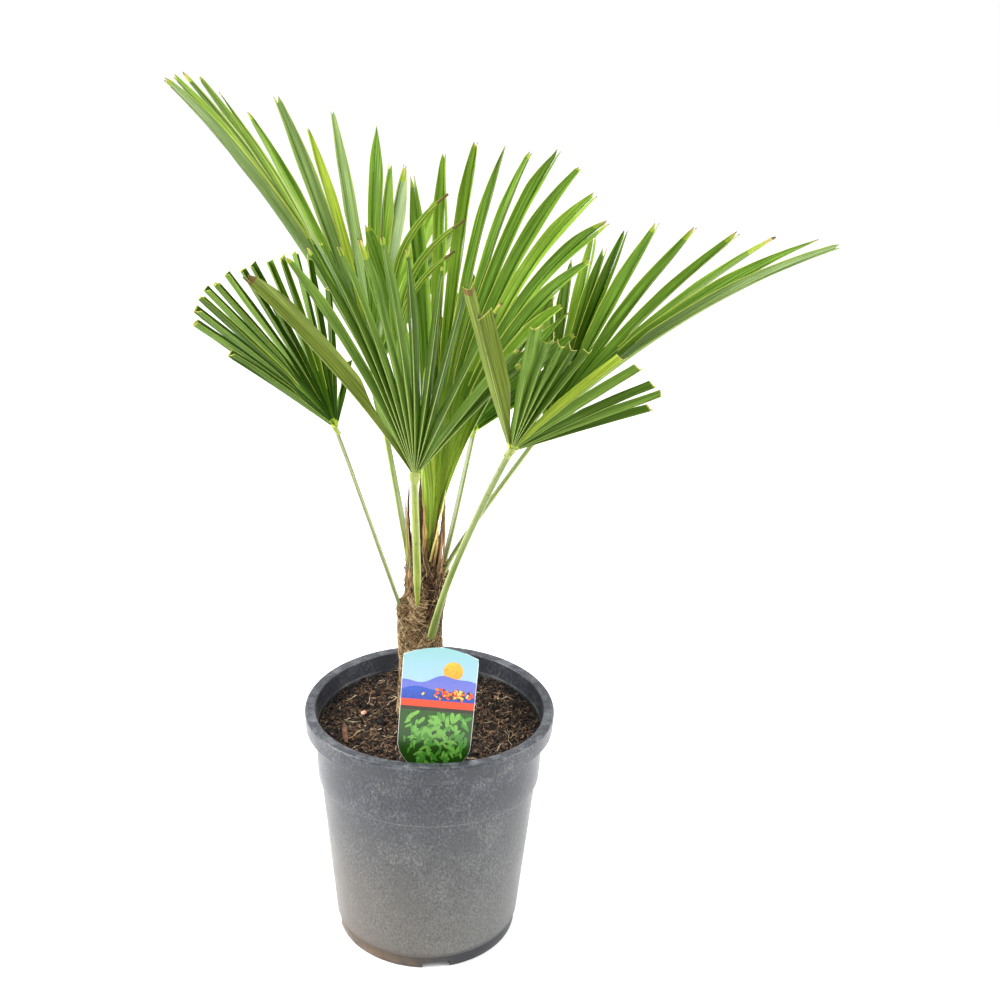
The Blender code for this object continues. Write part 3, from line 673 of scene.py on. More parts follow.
@dataclass(frozen=True)
class FanFrond:
    """One fan leaf: where its hub stands, how its blade lies and how far each leaflet reaches.

    The blade is pleated. Leaflets share their edges up to a split and are V-folded blades beyond
    it, each made of two halves that meet at a pale rib.
    """

    name: str
    hub: Triple
    bearing: float
    rise: float
    roll: float
    cup: float
    sag: float
    opening: float
    angles: tuple[float, ...]
    reaches: tuple[float, ...]
    half_width: float
    fused: float
    upper: tuple[Tint, ...]
    seed: int
    cut: bool = False
    tears: dict[int, float] = field(default_factory=dict)
    special: dict[int, Tint] = field(default_factory=dict)
    wide: dict[int, float] = field(default_factory=dict)
    worn: dict[int, float] = field(default_factory=dict)
    forked: float = 0.85
    taper_from: float = 0.72
    tip_width: float = 0.34
    tip_wear: float = 1.0
    pale_base: float = 0.0
    open_fold: float = 0.80
    foot: Triple | None = None
    foot_bearing: float = 0.0
    foot_rise: float = 70.0
    petiole_radius: float = 0.0033
    petiole_tint: Stalk = Stalk.BRIGHT
    foot_share: float = 0.85
    foot_drop: float = 0.0100
    opening_power: float = 1.0
    hub_wide: float = 1.0
    hub_long: float = 0.009
    lit_half: float = 0.0
    stations: int = 60
    tip_spacing: float = 1.45
    columns: int = 6
    margin: float = 0.07
    start: float = 0.0012
    thickness: float = 0.00045

    @property
    def longest(self) -> float:
        """Length of the longest leaflet in metres."""
        return max(self.reaches) / 100.0

    def blade_frame(self) -> tuple[Array, Array, Array]:
        """Unit vectors of the blade: along its middle line, across it and out of its upper face."""
        along = direction(self.bearing, self.rise)
        across = unit(np.cross(along, UP))
        normal = np.cross(across, along)
        cosine, sine = math.cos(math.radians(self.roll)), math.sin(math.radians(self.roll))
        return along, across * cosine + normal * sine, normal * cosine - across * sine

    def trace(self, angles: Array, runs: Array) -> tuple[Array, Array]:
        """Walk middle lines out from the hub.

        The heading is the blade's middle direction turned by the leaflet's angle times the
        opening, towards the full angle as a power of the run, lifted at the sides by the cup and
        bent down by the sag. Points are the hub plus the running sum of heading times step.

        Args:
            angles: Angle of each line in degrees, (count,).
            runs: Distances from the hub, growing along the last axis, (count, stations).

        Returns:
            Points and headings, both (count, stations, 3).
        """
        along, side, face = self.blade_frame()
        cup = math.radians(self.cup)
        opened = self.opening + (1.0 - self.opening) * (runs / self.longest) ** self.opening_power
        turn = (np.radians(angles)[:, None] * opened)[..., None]
        heading = (np.cos(turn) * along + np.sin(turn) * math.cos(cup) * side
                   + np.abs(np.sin(turn)) * math.sin(cup) * face)
        heading = unit(heading - (self.sag * runs / 0.30)[..., None] * UP)
        steps = np.diff(runs, axis=1)[..., None] * (heading[:, 1:] + heading[:, :-1]) / 2.0
        first = heading[:, :1] * runs[:, :1, None]
        points = np.array(self.hub) + np.concatenate([first, first + steps.cumsum(axis=1)], axis=1)
        return points, heading

    def leaflets(self) -> "LeafletSet":
        """Work out the middle lines, edges and folds of all leaflets at once.

        Near the hub a half spans half the way to its neighbour. Past the split it eases within a
        few centimetres to its own flat width and fold, and twists a little round its middle line.
        """
        rng = np.random.default_rng(self.seed)
        count = len(self.angles)
        angles, reaches = np.array(self.angles), np.array(self.reaches) / 100.0
        steps = 1.0 - (1.0 - np.linspace(0.0, 1.0, self.stations)) ** self.tip_spacing
        share = np.broadcast_to(steps, (count, self.stations))
        runs = self.start + (reaches[:, None] - self.start) * share
        points, heading = self.trace(angles, runs)
        before = np.append(2.0 * angles[0] - angles[1], angles[:-1])
        after = np.append(angles[1:], 2.0 * angles[-1] - angles[-2])
        split = np.array([self.tears.get(gap, self.fused * rng.uniform(0.93, 1.07))
                          for gap in range(count - 1)])
        split = split * np.minimum(reaches[:-1], reaches[1:])
        splits = (np.append(0.0, split), np.append(split, 0.0))
        twist = (np.radians(even(rng, -16.0, 16.0, count, 2)) * ease(share * 1.3 - 0.3))[..., None]
        breadth = np.array([self.wide.get(index, 1.0) for index in range(count)])[:, None]
        halves = []
        for sign, neighbour, joined in ((-1.0, before, splits[0][:, None]), (1.0, after, splits[1][:, None])):
            other, other_heading = self.trace(neighbour, runs)
            gap = (other - points) / 2.0
            spacing = np.linalg.norm(gap, axis=2)
            out = unit(gap)
            lift = unit(np.cross(out, unit(heading + other_heading)))
            lift *= np.sign(lift @ self.blade_frame()[2])[..., None]
            flat = self.half_width / self.open_fold * np.minimum(1.0, 0.30 + 1.9 * runs / self.longest)
            flat = flat * (even(rng, 0.90, 1.10, count, 2) * breadth) ** ease((runs - joined) / 0.03)
            fold = np.clip(spacing / flat, 0.42, 0.96)
            crowd = np.where(joined > 0.0, 0.97 * spacing / flat, self.open_fold)
            loose = np.clip(np.minimum(self.open_fold, crowd), 0.30, 1.0)
            part = np.where(joined > 0.0, ease((runs - joined) / 0.022), 1.0)
            width = (1.0 - part) * spacing / fold + part * flat
            fold = (1.0 - part) * fold + part * loose
            halves.append(Half(sign, width, fold, out * np.cos(twist) + sign * lift * np.sin(twist),
                               lift * np.cos(twist) - sign * out * np.sin(twist)))
        return LeafletSet(self, rng, share, runs, reaches, points, heading, splits, halves)

    def stalk_path(self, stations: int) -> Array:
        """Smooth path of the leaf stalk: a cubic Hermite curve from the trunk to the hub.

        It leaves the trunk and reaches the hub along the two headings, scaled by the distance
        between its ends times a share for each end.
        """
        start, end = np.array(self.foot), np.array(self.hub)
        span = np.linalg.norm(end - start)
        leave = direction(self.foot_bearing, self.foot_rise) * span * 0.60
        arrive = direction(self.bearing, self.rise) * span * 0.10
        t = np.linspace(0.0, 1.0, stations)[:, None]
        return ((2 * t**3 - 3 * t**2 + 1) * start + (t**3 - 2 * t**2 + t) * leave
                + (-2 * t**3 + 3 * t**2) * end + (t**3 - t**2) * arrive)


@dataclass
class LeafletSet:
    """All leaflets of a frond as arrays, ready to be turned into meshes."""

    plan: FanFrond
    rng: Random
    share: Array
    runs: Array
    reaches: Array
    points: Array
    heading: Array
    splits: tuple[Array, Array]
    halves: list[Half]

    def tip_taper(self, rng: Random) -> tuple[Array, Array, Array]:
        """Outer and inner limit of each half blade as shares of its width, and where ribs end.

        Past the start of its taper a leaflet narrows by a power of the share left, down to its
        tip's width. A forked one parts at its rib a few millimetres short of the end, and each
        lobe narrows from both sides to a point. A whole one narrows to a point at its rib, and a
        cut one keeps its width.

        Args:
            rng: Source of the random numbers.

        Returns:
            Outer and inner limits, (count, stations), and the rib's last share, (count,).
        """
        plan, count = self.plan, len(self.reaches)
        if plan.cut:
            outer = 1.0 - 0.10 * ease((self.share - 0.7) / 0.3)
            return outer, np.zeros_like(outer), np.full(count, 0.995)
        begin = plan.taper_from + rng.uniform(-0.05, 0.05, count)
        begin = np.minimum(np.maximum(begin, np.maximum(*self.splits) / self.reaches + 0.03), 0.93)
        forked = rng.random(count) < plan.forked
        parting = 1.0 - np.where(forked, rng.uniform(0.002, 0.007, count), 0.0) / self.reaches
        blunt = np.where(forked, plan.tip_width * rng.uniform(0.8, 1.25, count), 0.02)
        blunt[list(plan.worn)] = 0.62
        blunt = blunt[:, None]
        past = np.clip((self.share - begin[:, None]) / (parting - begin)[:, None], 0.0, 1.0)
        outer = 1.0 - (1.0 - blunt) * past ** even(rng, 1.15, 1.7, count, 2)
        opened = (self.share - parting[:, None]) / np.maximum(1.0 - parting, 0.002)[:, None]
        opened = np.where(forked[:, None], np.clip(opened, 0.0, 1.0), 0.0)
        point = even(rng, 0.45, 0.75, count, 2) * blunt
        last = np.where(forked, parting - 0.002, 0.985)
        return outer + (point - blunt) * opened, (point - 0.012) * opened, last

    def tints(self) -> Array:
        """Tint index of every row of faces, (count, stations - 1, 2) for upper and under side.

        Each leaflet gets one of the frond's tints. The last millimetres of its tip turn lime,
        straw and then brown. Next to the hub it is pale, and a young frond is so further up.
        """
        plan, count, rng = self.plan, len(self.reaches), self.rng
        chosen = rng.choice(plan.upper, count)
        chosen[list(plan.special)] = list(plan.special.values())
        under = np.where(rng.random(count) < 0.5, Tint.UNDER, Tint.UNDER_DARK)
        under = np.where(np.isin(chosen, (Tint.LIME, Tint.OLIVE)), chosen, under)
        middle = (self.share[:, 1:] + self.share[:, :-1]) / 2.0
        run = (self.runs[:, 1:] + self.runs[:, :-1]) / 2.0
        sides = np.repeat(np.stack([chosen, under], axis=1)[:, None], middle.shape[1], axis=1)
        left = (1.0 - middle) * self.reaches[:, None]
        if plan.cut:
            wear = even(rng, 0.0001, 0.0011, count, 2)
            ends = ((Tint.EDGE, 1.6), (Tint.STRAW, 0.6))
        else:
            wear = rng.gamma(1.5, 0.0016, (count, 1)) * plan.tip_wear
            ends = ((Tint.LIME, 2.2), (Tint.EDGE, 1.3), (Tint.STRAW, 0.8), (Tint.BROWN, 0.25))
        wear[list(plan.worn)] = 0.0
        for tint, amount in ends:
            sides[left < wear * amount] = tint
        for index, amount in plan.worn.items():
            sides[index, left[index] < amount] = Tint.BROWN
        sides[run < np.maximum(even(rng, 0.9, 1.1, count, 2) * plan.pale_base, 0.007)] = Tint.YOUNG
        return sides

    def add_blades(self, builder: MeshBuilder) -> None:
        """Put both half blades of every leaflet into a builder.

        A half blade is a thin closed sheet. Its point at a share p of its width lies on the
        slope vector, which is fold times out plus the rest times lift, with a slight belly of
        sin(pi p), and half the thickness above or below.

        Args:
            builder: Builder that takes the surfaces.
        """
        plan, number = self.plan, np.arange(len(self.reaches))
        outer, inner, _ = self.tip_taper(self.rng)
        sides = self.tints()
        across = np.append(np.linspace(0.0, 1.0 - plan.margin, plan.columns - 1), 1.0)
        slant = even(self.rng, -0.55, 0.55, len(number)) * float(plan.cut)
        wave = ripple(np.stack([self.runs, number[:, None] * 3.1 + self.runs * 0.0], 2), 0.11, plan.seed, 2)
        for half in self.halves:
            lateral = half.width[..., None] * (inner[..., None] + (outer - inner)[..., None] * across)
            fold = half.fold[..., None]
            rest = np.sqrt(1.0 - fold**2)
            slope = half.out * fold + half.lift * rest
            normal = half.lift * fold - half.out * rest
            belly = -0.05 * half.width[..., None] * np.sin(np.pi * across)
            belly = belly + (0.0010 * ease(self.share * 1.6 - 0.5) * wave)[..., None]
            shear = half.sign * slant * lateral * ease(self.share[..., None] * 3.0 - 2.0)
            middle = (self.points[:, :, None] + slope[:, :, None] * lateral[..., None]
                      + normal[:, :, None] * belly[..., None] + self.heading[:, :, None] * shear[..., None])
            skin = (plan.thickness * (1.0 - 0.45 * across)
                    * (0.45 + 0.55 * np.minimum(1.0, outer[..., None] * 3.0)))
            lifted = normal[:, :, None] * (skin / 2.0)[..., None]
            ring = np.concatenate([middle + lifted, (middle - lifted)[:, :, ::-1]], axis=2)
            strands = np.zeros(ring.shape)
            strands[..., 0] = np.concatenate([lateral, lateral[:, :, ::-1]], axis=2) * 100.0 * half.sign
            strands[..., 1] = self.runs[..., None] * 100.0
            strands[..., 2] = number[:, None, None]
            free = self.runs[:, 1:] > self.splits[int(half.sign > 0.0)][:, None]
            self.add_rings(builder, ring, strands, sides, half, free)

    def add_rings(self, builder: MeshBuilder, ring: Array, strands: Array, sides: Array, half: Half,
                  free: Array) -> None:
        """Join the rings of one side's half blades into closed sheets.

        Args:
            builder: Builder that takes the surfaces.
            ring: Points, (count, stations, ring points, 3), upper side first.
            strands: Strand coordinates in the same form.
            sides: Tints from `tints`.
            half: The side that the rings belong to.
            free: Whether the edge is free of its neighbour, (count, stations - 1).
        """
        count, rows, width = ring.shape[:3]
        columns, waist = width // 2, rows // 2
        turn = np.einsum("ij,ij->i", np.cross(half.out[:, waist], half.lift[:, waist]),
                         self.heading[:, waist])
        upper = sides[:, :, 0]
        # Painted light: on the lit half the darker greens and the shade green turn fresh green.
        if half.sign == self.plan.lit_half:
            upper = np.where((upper <= Tint.MID) | (upper == Tint.SHADE), Tint.FRESH, upper)
        # Painted shade: the two columns at a half's edge keep a pale margin where the edge is free. Where the
        # edge is fused it is the valley between two leaflets and gets dark fold shade, a mid green in the young
        # base.
        margin_and_valley_shade = np.where(upper <= Tint.UNDER_DARK, np.where(free, Tint.EDGE, Tint.SHADE), upper)
        margin_and_valley_shade = np.where(upper == Tint.YOUNG, Tint.MID, margin_and_valley_shade)
        body = np.empty((count, rows - 1, width), dtype=np.int32)
        body[:, :, :columns - 2] = upper[..., None]
        body[:, :, columns - 2:columns] = margin_and_valley_shade[..., None]
        body[:, :, columns:] = sides[:, :, 1:]
        tips = np.repeat(sides[:, -1, :1], 2 * (columns - 1), axis=1)
        if self.plan.cut:
            tips[::3] = Tint.EDGE
        finish = np.concatenate([body.reshape(count, -1), tips], axis=1)
        every = tube_faces(rows, width)[None] + np.arange(count)[:, None, None] * rows * width
        every = np.where((turn > 0.0)[:, None, None], every[:, :, ::-1], every)
        builder.add(ring, every.reshape(-1, 4), finish.reshape(-1), strands)

    def add_ribs(self, builder: MeshBuilder) -> None:
        """Put the rib of every leaflet into a builder, as a slim tube along the fold."""
        plan = self.plan
        _, _, ends = self.tip_taper(np.random.default_rng(plan.seed + 1))
        share = np.linspace(0.0, 1.0, 40)[None, :] * np.minimum(ends, 0.96)[:, None]
        runs = plan.start + (self.reaches[:, None] - plan.start) * share
        points, _ = plan.trace(np.array(plan.angles), runs)
        lift = unit(self.halves[0].lift + self.halves[1].lift)
        pick = np.rint((1.0 - (1.0 - share) ** (1.0 / plan.tip_spacing)) * (plan.stations - 1)).astype(int)
        up = np.take_along_axis(lift, pick[..., None], axis=1)
        slim = (1.0 - 0.72 * share) * min(1.0, plan.longest / 0.2) * (0.50 + 0.50 * ease(share / 0.30))
        builder.tubes(points - up * 0.00012, 0.00040 * slim, 0.00052 * slim, 6, Tint.RIB, up)


@dataclass(frozen=True)
class CrownPlan:
    """The seven fronds of the crown, repeated from the part's own named sizes."""

    def fronds(self) -> tuple[FanFrond, ...]:
        """Return the fronds from the front of the crown to its middle."""
        deep, mid, fresh, lime, silver = Tint.DEEP, Tint.MID, Tint.FRESH, Tint.LIME, Tint.SILVER
        shade, olive = Tint.SHADE, Tint.OLIVE
        return (
            FanFrond("frond_front", (-0.0095, -0.0900, 0.4600), -66, 56, 19, 8, 0.06, 0.74,
                     (49, 38, 33, 30, 27, 23, 19, 15, 8.5, 3.5, -5, -17, -22),
                     (21.5, 22.4, 23.0, 23.3, 23.1, 23.7, 23.9, 23.0, 22.1, 20.9, 19.8, 15.7, 14.5),
                     0.0029, 0.34, (deep, shade, deep, mid, shade), 11, tears={0: 0.33, 8: 0.28},
                     special={0: olive}, worn={0: 0.0055, 9: 0.0020}, wide={0: 2.0, 1: 1.3, 12: 1.3},
                     taper_from=0.80, open_fold=0.50, foot_share=0.45, foot=(-0.0116, -0.0100, 0.3160),
                     foot_bearing=-81, foot_rise=66, petiole_radius=0.0029, hub_wide=1.30, hub_long=0.018),
            FanFrond("frond_left", (-0.0714, -0.0550, 0.4828), 181, 53, 14, 13, 0.11, 0.97,
                     (-38, -34, -28, -20, -12, -3, 5, 12, 17, 25, 31, 37, 43, 50, 64),
                     (13.0, 16.3, 15.8, 15.1, 14.5, 13.9, 13.8, 13.5, 13.5, 13.5, 13.7, 14.2, 14.0, 11.8, 6.0),
                     0.0025, 0.34, (shade, shade, deep), 23, cut=True,
                     tears={2: 0.30, 6: 0.18, 10: 0.24, 12: 0.30}, wide={14: 1.4}, open_fold=0.44,
                     lit_half=-1.0, foot=(-0.0262, -0.0032, 0.3124), foot_bearing=209,
                     petiole_radius=0.0021, petiole_tint=Stalk.GREY),
            FanFrond("frond_right", (0.0598, -0.1572, 0.5086), -38, 52, 38, 12, 0.14, 1.02,
                     (40.3, 40.0, 23, 17, 13, 9, 3, -10, -21, -34, -42, -49),
                     (14.1, 11.7, 11.1, 10.2, 10.2, 10.2, 10.5, 10.9, 10.8, 10.7, 10.8, 10.0),
                     0.0043, 0.42, (olive, fresh, mid), 37, cut=True, tears={1: 0.12, 6: 0.22},
                     special={0: olive, 1: olive, 7: lime, 8: fresh, 9: mid, 10: fresh, 11: mid},
                     wide={0: 1.1, 1: 1.85}, worn={0: 0.0050}, open_fold=0.68, foot_share=1.25,
                     foot_drop=0.0030, foot=(0.0018, -0.0100, 0.2847), foot_bearing=-82, foot_rise=68,
                     petiole_radius=0.0026, petiole_tint=Stalk.GREEN),
            FanFrond("frond_right_back", (0.0885, 0.0500, 0.4510), 18, 51, -13, 17, 0.30, 0.59,
                     (-62, -51, -42, -36, -30, -20, -8, 6, 20, 29, 34),
                     (13.0, 15.1, 17.2, 16.1, 18.1, 19.4, 20.4, 22.0, 24.0, 27.0, 28.6),
                     0.0074, 0.40, (mid, fresh, deep, mid), 41, special={2: fresh, 10: silver, 9: mid},
                     taper_from=0.66, tip_wear=2.2, foot=(0.0074, 0.0148, 0.3325), foot_bearing=14,
                     foot_rise=65, petiole_radius=0.0023, petiole_tint=Stalk.GREEN),
            FanFrond("frond_back", (0.0295, 0.0700, 0.4370), 64, 58, 15, 8, 0.16, 0.98,
                     (-35, -26, -17, -8, 2, 12, 22, 33, 44, 55),
                     (13.4, 14.2, 14.4, 14.0, 13.6, 13.4, 13.2, 13.0, 12.4, 11.6),
                     0.0078, 0.55, (deep, mid), 53, foot=(0.0085, 0.0235, 0.3373), foot_bearing=60,
                     foot_rise=63, petiole_radius=0.0024, petiole_tint=Stalk.PALE),
            FanFrond("frond_left_back", (-0.0573, 0.1000, 0.4766), 159, 63, -3, 21, 0.32, 0.74,
                     (-35, -31, -25.5, -18, -8, 2, 11, 17, 25.5, 38.5, 44, 49, 64, 74, 80),
                     (31.8, 30.6, 29.4, 27.7, 25.7, 23.6, 24.4, 21.5, 23.3, 23.3, 19.9, 20.7, 20.9, 19.7, 16.5),
                     0.0082, 0.46, (silver, mid, silver, fresh), 67, special={7: lime, 10: fresh, 3: mid},
                     taper_from=0.70, tip_width=0.36, tip_wear=1.2, foot=(-0.0198, 0.0215, 0.3371),
                     foot_bearing=127, foot_rise=73, petiole_radius=0.0027, petiole_tint=Stalk.GREEN),
            FanFrond("frond_centre", (-0.0022, 0.0104, 0.3500), 62, 84, 5, 23, 0.45, 0.22,
                     (-19.9, -8.8, -3.3, 2.2, 8.8, 14.4, 18.7, 23.2, 27.7, 32.1, 36, 40, 43.4),
                     (27.4, 30.6, 32.3, 33.4, 33.9, 34.5, 36.1, 36.4, 36.1, 35.7, 32.6, 28.0, 22.6),
                     0.0066, 0.46, (mid, fresh, mid, mid), 71, forked=0.95, taper_from=0.86,
                     tip_width=0.40, pale_base=0.155, opening_power=0.72,
                     special={2: fresh, 3: fresh, 11: fresh}),
        )


def limb(path: Array, up: Array, wide: Array, high: Array, around: Array, run: Array, finish: int,
         lines: Sequence[int], line_finish: int) -> MeshBuilder:
    """Lay rings of one shape or another along a path and close them into a limb.

    A ring's point is the path's point plus the wide number along the side vector and the high
    number along the lift vector. The side is the up vector crossed with the heading.

    Args:
        path: Points of the path, (rows, 3).
        up: Vector that the side stays square to.
        wide: Offsets along the side, (rows, sides).
        high: Offsets along the lift, in the same form.
        around: Strand coordinate round the limb, (sides,).
        run: Strand coordinate along it, (rows,).
        finish: Material index of the limb.
        lines: Columns of faces that have a finish of their own.
        line_finish: Their material index.

    Returns:
        A builder with the limb in it.
    """
    tangent = unit(np.gradient(path, axis=0))
    side = unit(np.cross(up, tangent))
    ring = (path[:, None] + wide[..., None] * side[:, None]
            + high[..., None] * np.cross(tangent, side)[:, None])
    rows, sides = wide.shape
    faces = tube_faces(rows, sides)
    finishes = np.full(len(faces), finish)
    finishes[:(rows - 1) * sides][np.isin(np.arange((rows - 1) * sides) % sides, lines)] = line_finish
    strands = np.zeros(ring.shape)
    strands[..., 0] = around
    strands[..., 1] = run[:, None]
    builder = MeshBuilder()
    builder.add(ring, faces, finishes, strands)
    return builder


@dataclass
class Crown:
    """All fronds with their leaflets, ribs, hubs and stalks, and the folded spear."""

    fronds: tuple[FanFrond, ...]
    spear_foot: Triple = (-0.0045, 0.0020, 0.3560)
    spear_tip: Triple = (-0.0072, -0.0010, 0.5150)
    spear_radius: float = 0.0052
    spear_pleats: int = 11
    stalk_sides: int = 16
    axis_place: Triple = (-0.009, 0.008, 0.0)
    heart: Triple = (-0.0040, 0.0040, 0.3520)
    inner: tuple[tuple, ...] = (
        ((0.0098, -0.056, 0.6614), -0.338, 0.0036),
        ((0.0222, -0.058, 0.6439), -0.362, 0.0036),
        ((0.0156, -0.060, 0.6220), -0.327, 0.0030),
    )
    stalk_finishes: tuple[StalkFinish, ...] = (
        StalkFinish("stalk_bright", (108, 122, 44), (138, 150, 68)),
        StalkFinish("stalk_green", (88, 104, 42), (122, 136, 74)),
        StalkFinish("stalk_grey", (86, 98, 62), (118, 128, 90)),
        StalkFinish("stalk_pale", (92, 104, 58), (122, 132, 86)),
        StalkFinish("stalk_margin", (140, 148, 84), (172, 176, 112)),
    )

    def build(self) -> None:
        """Make every piece of the crown."""
        leaf = [finish.make() for finish in LEAF_FINISHES]
        stalks = [finish.make() for finish in self.stalk_finishes]
        for frond in self.fronds:
            leaflets = frond.leaflets()
            blades, ribs = MeshBuilder(), MeshBuilder()
            leaflets.add_blades(blades)
            hand_over(blades.build(frond.name.replace("frond", "leaflets"), leaf), "leaf", frond.name)
            leaflets.add_ribs(ribs)
            self.add_hub(frond, ribs)
            hand_over(ribs.build(frond.name.replace("frond", "ribs"), leaf), "leaf")
            if frond.foot:
                self.build_stalk(frond, stalks)
        self.build_spear(leaf)
        self.build_inner(leaf)

    def add_hub(self, frond: FanFrond, builder: MeshBuilder) -> None:
        """Put the swelling that the ribs spring from into a builder, with its small raised tongue.

        The swelling's radius eases from the stalk's to its own and rounds off at its end.

        Args:
            frond: The frond's plan.
            builder: Builder that takes the surfaces.
        """
        along, side, face = frond.blade_frame()
        t = np.linspace(0.0, 1.0, 18)
        swell = 0.92 + (frond.hub_wide - 0.92) * ease(t * 1.25)
        radius = frond.petiole_radius * swell * np.sqrt(1.02 - t**6)
        lean = math.radians(sum(frond.angles) / len(frond.angles)) * frond.opening
        heading = along * math.cos(lean) + side * math.sin(lean)
        path = np.array(frond.hub) + heading * ((t[:, None] - 0.60) * frond.hub_long)
        builder.tubes(path[None], radius * (1.0 + 0.35 * t), radius * (1.0 - 0.35 * t), 12, Tint.HUB, face)
        tongue = (np.array(frond.hub) + heading * (0.001 + 0.006 * t[:, None])
                  + face * (0.0016 + 0.0022 * t[:, None]))
        flat = 0.8 * frond.petiole_radius * np.sqrt(np.maximum(1.0 - t**2, 0.004))
        builder.tubes(tongue[None], flat, 0.0003, 8, Tint.LIME, face)

    def build_stalk(self, frond: FanFrond, stalks: Sequence[Material]) -> None:
        """Make one leaf stalk.

        Its ring is an ellipse that is flatter on the side towards the crown's axis and has a
        shallow groove there. Its foot narrows or widens to its own share and runs on into the
        trunk, and thin pale margins run along it.

        Args:
            frond: The frond's plan.
            stalks: Stalk materials, the pale margin's last.
        """
        path = frond.stalk_path(72)
        t = np.linspace(0.0, 1.0, len(path))
        radius = frond.petiole_radius * (1.15 - 0.23 * t)
        radius = radius * (frond.foot_share + (1.0 - frond.foot_share) * ease(t / 0.24))
        inward = unit(np.array(self.axis_place) - path * LEVEL)
        path = path + (inward * 0.0030 - UP * frond.foot_drop) * (1.0 - ease(t / 0.16))[:, None]
        face = frond.blade_frame()[2]
        adaxial = unit(inward * (1.0 - ease(t))[:, None] + face * ease(t)[:, None])
        angle = (np.arange(self.stalk_sides) + 0.5) * FULL / self.stalk_sides
        wide, high = np.cos(angle), np.sin(angle)
        high = np.where(high > 0.0, high * 0.62 - 0.26 * np.exp(-(wide / 0.38) ** 2) * high, high * 0.94)
        margins = (self.stalk_sides // 2 - 1, self.stalk_sides - 1)
        builder = limb(path, adaxial, radius[:, None] * wide, radius[:, None] * high, angle / FULL, t * 30.0,
                       frond.petiole_tint, margins, Stalk.MARGIN)
        hand_over(builder.build(frond.name.replace("frond", "stalk"), stalks), "petiole",
                  frond.name.replace("frond", "petiole"))

    def build_spear(self, leaf: Sequence[Material]) -> None:
        """Make the next leaf, still folded: a slim bundle whose ring is pleated like a closed fan.

        The ring's radius is the bundle's, times one plus a small share of a cosine with one turn
        to a pleat. The bundle is slim at its foot, swells and narrows to its tip.
        """
        foot, tip = np.array(self.spear_foot), np.array(self.spear_tip)
        t = np.linspace(0.0, 1.0, 90)
        path = foot + (tip - foot) * t[:, None] + 0.0016 * np.sin(t * 3.0)[:, None] * (1.0, 0.0, 0.0)
        sides = self.spear_pleats * 6
        angle = np.arange(sides) * FULL / sides
        taper = np.sqrt(np.clip(1.02 - t**3.2, 0.003, 1.0))
        radius = self.spear_radius * (0.45 + 0.55 * ease(t * 2.2)) * taper
        ring = radius[:, None] * (1.0 + 0.16 * np.cos(self.spear_pleats * angle))
        run = t * np.linalg.norm(tip - foot) * 60.0
        builder = limb(path, FRONT, ring * np.cos(angle), 0.7 * ring * np.sin(angle),
                       angle * self.spear_radius * 100.0, run, Tint.YOUNG, range(0, sides, 6), Tint.RIB)
        hand_over(builder.build("spear_leaf", leaf), "leaf", "spear")

    def build_inner(self, leaf: Sequence[Material]) -> None:
        """Make the narrow leaflets of the next frond that bend out behind the front one.

        Each runs straight from the crown's heart to its end and bows sideways by a number times
        t cubed times (1 - t). It is two flat sheets that meet in a fold, with a rib along it and
        a brown tip.

        Args:
            leaf: Leaf materials in the order of Tint.
        """
        t = np.linspace(0.0, 1.0, 44)
        heart = np.array(self.heart)
        builder = MeshBuilder()
        for end, bow, width in self.inner:
            path = (heart + (np.array(end) - heart) * t[:, None]
                    + (t**3 * (1.0 - t))[:, None] * (bow, 0.0, 0.0))
            slim = width * np.minimum(1.0, 0.25 + 1.3 * t) * np.sqrt(np.clip(1.01 - t**9, 0.008, 1.0))
            tangent = unit(np.gradient(path, axis=0))
            across = unit(np.cross(tangent, (0.0, -1.0, 0.2)))
            for sign in (-1.0, 1.0):
                slope = unit(across * sign + FRONT * 0.26)
                middle = path - FRONT * 0.0008 + slope * slim[:, None] * 0.5
                builder.tubes(middle[None], slim * 0.5, 0.0002, 8, Tint.FRESH, np.cross(tangent, slope))
            builder.tubes(path[None], 0.0004, 0.0004, 6, Tint.EDGE, FRONT)
            builder.tubes(path[None, -2:], 0.0010, 0.0005, 6, Tint.BROWN, FRONT)
        hand_over(builder.build("leaflets_inner", leaf), "leaf")


class Fibre(IntEnum):
    """Finish of a fibre or a sheath, by its place in the list of the trunk's materials."""

    MID = 0
    DARK = 1
    LIGHT = 2
    RED = 3
    PAPER = 4
    GREEN = 5
    TAN = 6
    YELLOW = 7
    BLACK = 8


